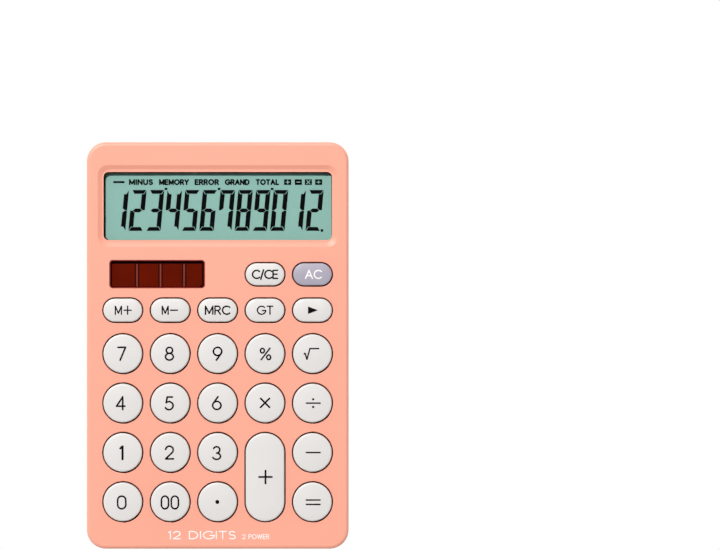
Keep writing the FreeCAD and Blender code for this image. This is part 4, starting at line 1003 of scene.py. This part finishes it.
def filled(outline, count=4):
    """An outline and smaller ones inside it, so that the shape has points to follow a crowned cap with."""
    middle = sum(outline, Vector((0, 0))) / len(outline)
    shapes = []
    for n in range(count):
        scale = 1 - n / count
        line = [middle + (corner - middle) * scale for corner in outline + outline[:1]]
        shapes.append(divided(line)[:-1])
    return shapes


for node, cap in CAPS.items():
    if node == "key_backspace":
        shapes = filled(ARROW)
    else:
        text, style = LEGENDS[node]
        shapes = words(text, **style)
    ink_name = "white_ink" if node == "key_all_clear" else "black_ink"
    place = FACE @ Matrix.Translation(cap.middle)
    add_ink(node.replace("key", "legend", 1), shapes, cap.crown, ink_name, body=node, place=place)
print(len(CAPS), "legends")

# %% [markdown]
# ## Figures of the display
# The display shows twelve figures made of seven segments each. There are only four shapes of segment: a
# bar, the middle bar, and an upright in two hands; turned by half a turn they give all seven. So the tree
# below gets one point for each lit segment, with the number of its shape and its turn stored on it. It
# puts the shape there and slants the whole row, as such figures are.

# %% The four shapes of segment
FIGURES = "123456789012"
FIGURE_WIDTH = 5.75 * MM
FIGURE_HEIGHT = 16.1 * MM
FIGURE_PITCH = 6.977 * MM
FIRST_FIGURE = Vector((-38.65 * MM, 53.2 * MM))
BAR = 1.5 * MM
POST = 1.8 * MM
MITRE = 0.9 * MM
BREAK = 0.15 * MM
SLANT = math.tan(math.radians(5.2))
SEGMENT_INK = 0.02 * MM
GLASS_TOP = face_box("lcd_front_glass")[1].z

half_width = FIGURE_WIDTH / 2
half_height = FIGURE_HEIGHT / 2
upright = [
    (-half_width, half_height - BREAK),
    (-half_width, BREAK / 2),
    (-half_width + POST / 2, BREAK / 2),
    (-half_width + POST, BAR / 2 + BREAK / 2),
    (-half_width + POST, half_height - BAR - BREAK),
    (-half_width + MITRE, half_height - BAR - BREAK),
]
SHAPES = [
    [
        (-half_width + BREAK, half_height),
        (-half_width + MITRE + BREAK, half_height - BAR),
        (half_width - MITRE - BREAK, half_height - BAR),
        (half_width - BREAK, half_height),
    ],
    [
        (-half_width + POST / 2 + BREAK, 0),
        (-half_width + POST + BREAK, -BAR / 2),
        (half_width - POST - BREAK, -BAR / 2),
        (half_width - POST / 2 - BREAK, 0),
        (half_width - POST - BREAK, BAR / 2),
        (-half_width + POST + BREAK, BAR / 2),
    ],
    upright,
    [(-x, y) for x, y in reversed(upright)],
]


def prism(outline, low, high):
    """A closed solid over a flat outline given anticlockwise."""
    count = len(outline)
    mesh = bpy.data.meshes.new("prism")
    corners = [(x, y, height) for height in (low, high) for x, y in outline]
    walls = [(n, (n + 1) % count, (n + 1) % count + count, n + count) for n in range(count)]
    mesh.from_pydata(corners, [], walls + [list(range(count))[::-1], list(range(count, 2 * count))])
    return mesh


shape_box = bpy.data.collections.new("segment shapes")
scene.collection.children.link(shape_box)
for n, outline in enumerate(SHAPES):
    shape_box.objects.link(bpy.data.objects.new(f"shape_{n}", prism(outline, 0, SEGMENT_INK)))

# %% The tree that sets the figures
SET, set_in, set_out = new_group(
    "figures of a display",
    "GeometryNodeTree",
    {
        "Places": ("Geometry", None),
        "Shapes": ("Collection", None),
        "Slant": ("Float", 0.1),
        "Base line": ("Float", 0.0),
        "Finish": ("Material", None),
    },
    {"Figures": "Geometry"},
)
shape = step(SET, "GeometryNodeInputNamedAttribute", {"Name": "shape"}, data_type="INT")
turn = step(SET, "GeometryNodeInputNamedAttribute", {"Name": "turn"}, data_type="FLOAT")
kinds = step(
    SET,
    "GeometryNodeCollectionInfo",
    {"Collection": set_in.outputs["Shapes"], "Separate Children": True, "Reset Children": True},
)
turned_about = step(SET, "ShaderNodeCombineXYZ", {"Z": turn.outputs["Attribute"]})
segments = step(
    SET,
    "GeometryNodeInstanceOnPoints",
    {
        "Points": set_in.outputs["Places"],
        "Instance": kinds.outputs[0],
        "Pick Instance": True,
        "Instance Index": shape.outputs["Attribute"],
        "Rotation": turned_about.outputs[0],
    },
)
real = step(SET, "GeometryNodeRealizeInstances", {"Geometry": segments.outputs[0]})
spot = step(SET, "ShaderNodeSeparateXYZ", {0: step(SET, "GeometryNodeInputPosition").outputs[0]})
over_base = maths(SET, "SUBTRACT", spot.outputs["Y"], set_in.outputs["Base line"])
sideways = maths(SET, "MULTIPLY", over_base, set_in.outputs["Slant"])
lean_over = step(SET, "ShaderNodeCombineXYZ", {"X": sideways})
slanted = step(
    SET, "GeometryNodeSetPosition", {"Geometry": real.outputs[0], "Offset": lean_over.outputs[0]}
)
painted = step(
    SET, "GeometryNodeSetMaterial", {"Geometry": slanted.outputs[0], "Material": set_in.outputs["Finish"]}
)
SET.links.new(painted.outputs[0], set_out.inputs["Figures"])
print(len(SET.nodes), "nodes in the tree of the figures")

# %% Light the segments
# which shape each segment is, and whether it is turned by half a turn
SEGMENTS = {
    "a": (0, False), "b": (3, False), "c": (2, True), "d": (0, True), "e": (3, True), "f": (2, False),
    "g": (1, False),
}
LIT = {
    "0": "abcdef", "1": "bc", "2": "abged", "3": "abgcd", "4": "fgbc", "5": "afgcd", "6": "afgedc",
    "7": "fabc", "8": "abcdefg", "9": "abcdfg",
}
MATERIALS["segment_black"] = finish("segment_black", (0.001, 0.001, 0.001), spread=0.3, **MATTE)
lit = [(n, *SEGMENTS[part]) for n, figure in enumerate(FIGURES) for part in LIT[figure]]
places = bpy.data.meshes.new("places")
middles = [(FIRST_FIGURE.x + n * FIGURE_PITCH, FIRST_FIGURE.y, GLASS_TOP) for n, _, _ in lit]
places.from_pydata(middles, [], [])
places.attributes.new("shape", "INT", "POINT").data.foreach_set("value", [kind for _, kind, _ in lit])
turns = [math.pi if turned else 0.0 for _, _, turned in lit]
places.attributes.new("turn", "FLOAT", "POINT").data.foreach_set("value", turns)
figures = grown(
    "display_figures",
    SET,
    {
        "Shapes": shape_box,
        "Slant": SLANT,
        "Base line": FIRST_FIGURE.y,
        "Finish": MATERIALS["segment_black"],
    },
    places,
)
add_piece("display_figures", figures, "root")
for outline in list(shape_box.objects):
    bpy.data.objects.remove(outline)
bpy.data.collections.remove(shape_box)
print(len(lit), "segments,", len(figures.polygons), "faces")

# %% [markdown]
# Over the figures runs a row of small signs, which are segments of the display too: a dash for minus,
# five words, and four sums that are light on dark squares. The marks that part the thousands stand above
# the figures, and the decimal point stands at their foot.

# %% Signs of the display
# all these sizes are millimetres
SIGN = {"height": 1.75, "stroke": 0.62, "spacing": 0.36}
SIGN_LINE = 64.35
DASH = [(-40.9, SIGN_LINE), (-37.1, SIGN_LINE)]
DASH_HALF = 0.4
# each word: the middle of its line and its width
SIGNS = {
    "MINUS": (-30.3, 8.9),
    "MEMORY": (-17.3, 11.2),
    "ERROR": (-4.4, 9.0),
    "GRAND": (7.6, 9.2),
    "TOTAL": (19.5, 8.6),
}
SUM_PLACES = [27.5, 31.7, 35.65, 39.7]
SUMS = ["+", "-", "x", "divide"]
SUM = {"height": 1.3, "stroke": 0.3}
SUM_HALF = (1.4, 1.1)
MARK_HALF = (0.55, 0.45)
MARK_RAISE = 0.4
POINT_HALF = (0.5, 0.5)
POINT_RAISE = 0.15
# the marks follow these figures, and the point stands this many figures from the first one
MARKS_AFTER = (3, 6, 9)
POINT_PLACE = 11.52


def square(x, y, half_x, half_y):
    """A rectangle about a point."""
    return [Vector((x + a * half_x, y + b * half_y)) for a, b in ((-1, -1), (1, -1), (1, 1), (-1, 1))]


signs = bands(DASH, DASH_HALF)
for text, (middle, width) in SIGNS.items():
    signs += words(text, about=(middle, SIGN_LINE), width=width, **SIGN)
for x in SUM_PLACES:
    signs.append(square(x, SIGN_LINE, *SUM_HALF))
top_line = (FIRST_FIGURE.y + half_height) / MM
for n in MARKS_AFTER:
    mark = FIRST_FIGURE.x / MM + (n - 0.5) * FIGURE_PITCH / MM + half_height / MM * SLANT
    signs.append(square(mark, top_line + MARK_RAISE, *MARK_HALF))
point = (FIRST_FIGURE.x + POINT_PLACE * FIGURE_PITCH - half_height * SLANT) / MM
signs.append(square(point, top_line - FIGURE_HEIGHT / MM + POINT_RAISE, *POINT_HALF))
sign_faces = add_ink("display_signs", signs, level(GLASS_TOP), "segment_black", SEGMENT_INK)

sums = []
for kind, x in zip(SUMS, SUM_PLACES):
    sums += words(kind, about=(x, SIGN_LINE), **SUM)
sum_faces = add_ink("display_sums", sums, level(GLASS_TOP), "lcd_glass", SEGMENT_INK * 2)
print("signs:", sign_faces, "faces; sums:", sum_faces, "faces")

# %% [markdown]
# ## Solar cell
# The cell is one glass plate with four strips of silicon in series. The gaps between them show as thin
# paler lines with a dark border. Both are real strips on the plate, a thin one over a wider one, repeated
# by a tree along a line.

# %% Lines of the solar cell
LINES, lines_in, lines_out = new_group(
    "lines of a solar cell",
    "GeometryNodeTree",
    {
        "Count": ("Int", 3),
        "First": ("Vector", (0, 0, 0)),
        "Step": ("Vector", (0.01, 0, 0)),
        "Size": ("Vector", (0.001, 0.01, 0.0001)),
        "Finish": ("Material", None),
    },
    {"Lines": "Geometry"},
)
row = step(
    LINES,
    "GeometryNodeMeshLine",
    {
        "Count": lines_in.outputs["Count"],
        "Start Location": lines_in.outputs["First"],
        "Offset": lines_in.outputs["Step"],
    },
)
strip = step(LINES, "GeometryNodeMeshCube", {"Size": lines_in.outputs["Size"]})
repeated = step(
    LINES, "GeometryNodeInstanceOnPoints", {"Points": row.outputs[0], "Instance": strip.outputs["Mesh"]}
)
real = step(LINES, "GeometryNodeRealizeInstances", {"Geometry": repeated.outputs[0]})
painted = step(
    LINES, "GeometryNodeSetMaterial", {"Geometry": real.outputs[0], "Material": lines_in.outputs["Finish"]}
)
LINES.links.new(painted.outputs[0], lines_out.inputs["Lines"])
print(len(LINES.nodes), "nodes in the tree of the lines")

# %% Set the lines on the cell
MATERIALS["solar_line"] = finish("solar_line", (0.19, 0.036, 0.022), spread=0.08, **MATTE)
MATERIALS["solar_border"] = finish("solar_border", (0.030, 0.0012, 0.0008), spread=0.1, **MATTE)
MATERIALS["solar_black"] = finish("solar_black", (0.014, 0.0004, 0.0003), spread=0.1, **MATTE)
LINE_COUNT = 3
CELL_PITCH = 9.27 * MM
OFF_MIDDLE = 1.25 * MM
END_GAPS = 0.4 * MM
# the width and the height of each strip
STRIPS = {"solar_borders": (1.9 * MM, 0.01 * MM), "solar_lines": (0.6 * MM, 0.03 * MM)}
cell_low, cell_high = face_box("solar_cell")
cell_middle = (cell_low + cell_high) / 2
cell_length = cell_high.y - cell_low.y - END_GAPS
for name, (width, height) in STRIPS.items():
    sizes = {
        "Count": LINE_COUNT,
        "First": Vector((cell_middle.x + OFF_MIDDLE - CELL_PITCH, cell_middle.y, cell_high.z)),
        "Step": (CELL_PITCH, 0, 0),
        "Size": (width, cell_length, height),
        "Finish": MATERIALS[name[:-1]],
    }
    add_piece(name, grown(name, LINES, sizes), "root")
print("the solar cell lies", round(-cell_high.z / MM, 2), "mm under the face")

# %% [markdown]
# Both glasses have a black edge drawn where they meet the case, and part of it is painted shadow of the
# rim. It isn't equally wide all round: at the solar cell it is the cell's own dark border, widest along the
# top, where it also stands for painted shadow of the rim; at the display it is all painted shadow, a thin
# line along the left and the top and a hair line on the right. The edge is drawn as strokes that run just
# under the rim of each opening, with the same bands as the letters. An opening is its glass less the lap
# under the case.

# %% Black edges and painted rim shadow of the display and the solar cell
# all these sizes are millimetres; a band is given by half its width
SOLAR_LAP = 1.2
SOLAR_CORNER = 1.0
# the cell's dark border; its wide band along the top is partly painted shadow of the rim
SOLAR_BORDER_AND_SHADOW_BANDS = {"left": 0.55, "right": 0.95, "low": 0.3, "high": 1.1}
WINDOW_LAP = 1.8
WINDOW_CORNER = 2.0
# painted shadow of the rim of the display
WINDOW_SHADOW_BANDS = {"left and high": 0.42, "right": 0.14}


def rim(node, lap, corner):
    """Corners and corner centres of the opening over a glass, in millimetres on the face."""
    low, high = face_box(node)
    low, high = low / MM + Vector((lap, lap, 0)), high / MM - Vector((lap, lap, 0))
    return low, high, low + Vector((corner, corner, 0)), high - Vector((corner, corner, 0))


def rounded(x, y, radius, *turns):
    """Part of a circle between two angles, as a round corner of a rim."""
    return arc(x, y, radius, radius, *turns)


low, high, inner_low, inner_high = rim("solar_cell", SOLAR_LAP, SOLAR_CORNER)
left_side = rounded(inner_low.x, inner_low.y, SOLAR_CORNER, 270, 180)
left_side += rounded(inner_low.x, inner_high.y, SOLAR_CORNER, 180, 90)
right_side = rounded(inner_high.x, inner_high.y, SOLAR_CORNER, 90, 0)
right_side += rounded(inner_high.x, inner_low.y, SOLAR_CORNER, 0, -90)
shapes = bands(left_side, SOLAR_BORDER_AND_SHADOW_BANDS["left"]) + bands(right_side, SOLAR_BORDER_AND_SHADOW_BANDS["right"])
shapes += bands([(inner_low.x, low.y), (inner_high.x, low.y)], SOLAR_BORDER_AND_SHADOW_BANDS["low"])
shapes += bands([(inner_low.x, high.y), (inner_high.x, high.y)], SOLAR_BORDER_AND_SHADOW_BANDS["high"])
# dark border of the solar cell, widest along the top with painted shadow of the rim
solar_faces = add_ink("solar_edge", shapes, level(cell_high.z), "solar_black", SEGMENT_INK)

low, high, inner_low, inner_high = rim("display_window", WINDOW_LAP, WINDOW_CORNER)
left_side = rounded(inner_low.x, inner_low.y, WINDOW_CORNER, 250, 180)
left_side += rounded(inner_low.x, inner_high.y, WINDOW_CORNER, 180, 90)
top_right = rounded(inner_high.x, inner_high.y, WINDOW_CORNER, 90, 20)
shapes = bands(left_side + top_right, WINDOW_SHADOW_BANDS["left and high"])
shapes += bands([top_right[-1], (high.x, inner_low.y)], WINDOW_SHADOW_BANDS["right"])
# painted shadow along the rim of the display
display_faces = add_ink("display_edge", shapes, level(GLASS_TOP), "segment_black", SEGMENT_INK)
print("edges:", solar_faces, "and", display_faces, "faces")

# %% [markdown]
# ## Print on the case
# Below the keys stands a line of white print. The words are generic: what the machine can show and how
# it is powered.

# %% White print
PRINTED = {
    "12 DIGITS": {"height": 2.9, "stroke": 0.4, "about": (-6.2, -74.6), "width": 26.2},
    "2 POWER": {"height": 1.7, "stroke": 0.26, "about": (15, -75.2), "width": 10.4},
}
shapes = [shape for text, style in PRINTED.items() for shape in words(text, **style)]
print("print:", add_ink("case_print", shapes, level(0), "white_ink"), "faces")

# %% [markdown]
# ## Keypad
# The rubber keypad moves with the keys: each dome collapses when its key goes down. In the CAD model it
# is one solid, which can't do that. So a copy of its mesh is merged and split: what stands over the sheet
# within reach of a key becomes that key's dome, a piece of its own; the rest is the sheet. The domes stay
# on the sheet and don't flatten here. The carbon pills under the domes are carried down whole, so each
# rides on its key; at full press a pill passes through its dome's lower rim, out of sight inside the case.


# %% Split the copies by key
def loose_copy(node):
    """A copy of a CAD node's mesh in the face's frame, with the corners that meet made one."""
    solid = bmesh.new()
    solid.from_mesh(NODES[node].data)
    bmesh.ops.remove_doubles(solid, verts=solid.verts, dist=0.001 * MM)
    bmesh.ops.transform(solid, matrix=FACE.inverted(), verts=solid.verts)
    solid.faces.index_update()
    return solid


def part_of(solid, name, chosen, material):
    """The faces of a mesh with the chosen numbers, as a mesh of their own."""
    copy = solid.copy()
    unwanted = [face for face in copy.faces if face.index not in chosen]
    bmesh.ops.delete(copy, geom=unwanted, context="FACES")
    mesh = bpy.data.meshes.new(name)
    copy.to_mesh(mesh)
    copy.free()
    mesh.materials.append(material)
    return mesh


def near_key(point):
    """The key whose middle is nearest to a point of the face."""
    return min(CAPS.values(), key=lambda cap: math.dist(cap.middle[:2], point[:2])).node


SHEET_THICKNESS = 0.8 * MM
SHEET_TOP = face_box("rubber_keypad")[0].z + SHEET_THICKNESS
# a corner this far over the sheet belongs to a dome
OVER_SHEET = 0.01 * MM


def sealed(mesh):
    """Close the open edges that splitting leaves, with flat faces across them."""
    solid = bmesh.new()
    solid.from_mesh(mesh)
    bmesh.ops.holes_fill(solid, edges=[edge for edge in solid.edges if edge.is_boundary])
    bmesh.ops.recalc_face_normals(solid, faces=solid.faces)
    solid.to_mesh(mesh)
    solid.free()
    return mesh


def in_dome(face):
    """Whether a face has a corner over the sheet."""
    return any(vertex.co.z > SHEET_TOP + OVER_SHEET for vertex in face.verts)


def faces_of(solid, node, test=lambda face: True):
    """The numbers of the faces that pass a test and are nearest to one key."""
    return {
        face.index for face in solid.faces if test(face) and near_key(face.calc_center_median()) == node
    }


# %% A dome and a pill for each key
pad = loose_copy("rubber_keypad")
silicone = MATERIALS["keypad_silicone"]
flat = {face.index for face in pad.faces if not in_dome(face)}
sheet = sealed(part_of(pad, "keypad_sheet", flat, silicone))
add_piece("keypad_sheet", sheet, "root", FACE, ["rubber_keypad"])
pills = loose_copy("contact_pills")
for node, cap in CAPS.items():
    name = node.replace("key", "dome", 1)
    dome = sealed(part_of(pad, name, faces_of(pad, node, in_dome), silicone))
    made = add_piece(name, dome, "root", FACE, ["rubber_keypad"])
    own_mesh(made)
    name = node.replace("key", "pill", 1)
    pill = part_of(pills, name, faces_of(pills, node), MATERIALS["carbon_rubber"])
    add_piece(name, pill, node, FACE, ["contact_pills"])
pad.free()
pills.free()
print(len(CAPS), "domes and pills")

# %% [markdown]
# ## Desk
# The desk is a plain white sheet. It glows a little instead of only reflecting, because a lit sheet that
# is overexposed has no shadows either, as in a catalogue picture. Seen from below it isn't there, so
# that the underside of the case can be looked at: Backfacing tells the material which side it shows.

# %% The white sheet
DESK_HALF = 3.0


def white_sheet():
    """White light upwards, nothing downwards."""
    material = bpy.data.materials.new("white_sheet")
    material.use_nodes = True
    tree = material.node_tree
    tree.nodes.remove(tree.nodes["Principled BSDF"])
    glow = step(tree, "ShaderNodeEmission", {"Color": (1, 1, 1, 1), "Strength": 1.0})
    clear = step(tree, "ShaderNodeBsdfTransparent")
    below = step(tree, "ShaderNodeNewGeometry").outputs["Backfacing"]
    sides = step(tree, "ShaderNodeMixShader", {0: below, 1: glow.outputs[0], 2: clear.outputs[0]})
    tree.links.new(sides.outputs[0], tree.nodes["Material Output"].inputs["Surface"])
    return material


desk = bpy.data.objects.new("desk", bpy.data.meshes.new("desk"))
scene.collection.objects.link(desk)
corners = [(x * DESK_HALF, y * DESK_HALF, 0) for x, y in ((-1, -1), (1, -1), (1, 1), (-1, 1))]
desk.data.from_pydata(corners, [], [range(4)])
desk.data.materials.append(white_sheet())
desk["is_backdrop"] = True
print("the desk is", 2 * DESK_HALF, "m wide")

# %% [markdown]
# ## Sizes and the end
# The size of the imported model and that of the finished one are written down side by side: they must be
# the same, because the pieces made here stand for packed ones.

# %% Sizes
boxes = [[list(corner) for corner in box] for box in (cad_box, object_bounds())]
for what, (low, high) in zip(("packed:", "finished:"), boxes):
    print(what, " x ".join(f"{(b - a) / MM:.2f}" for a, b in zip(low, high)), "mm")
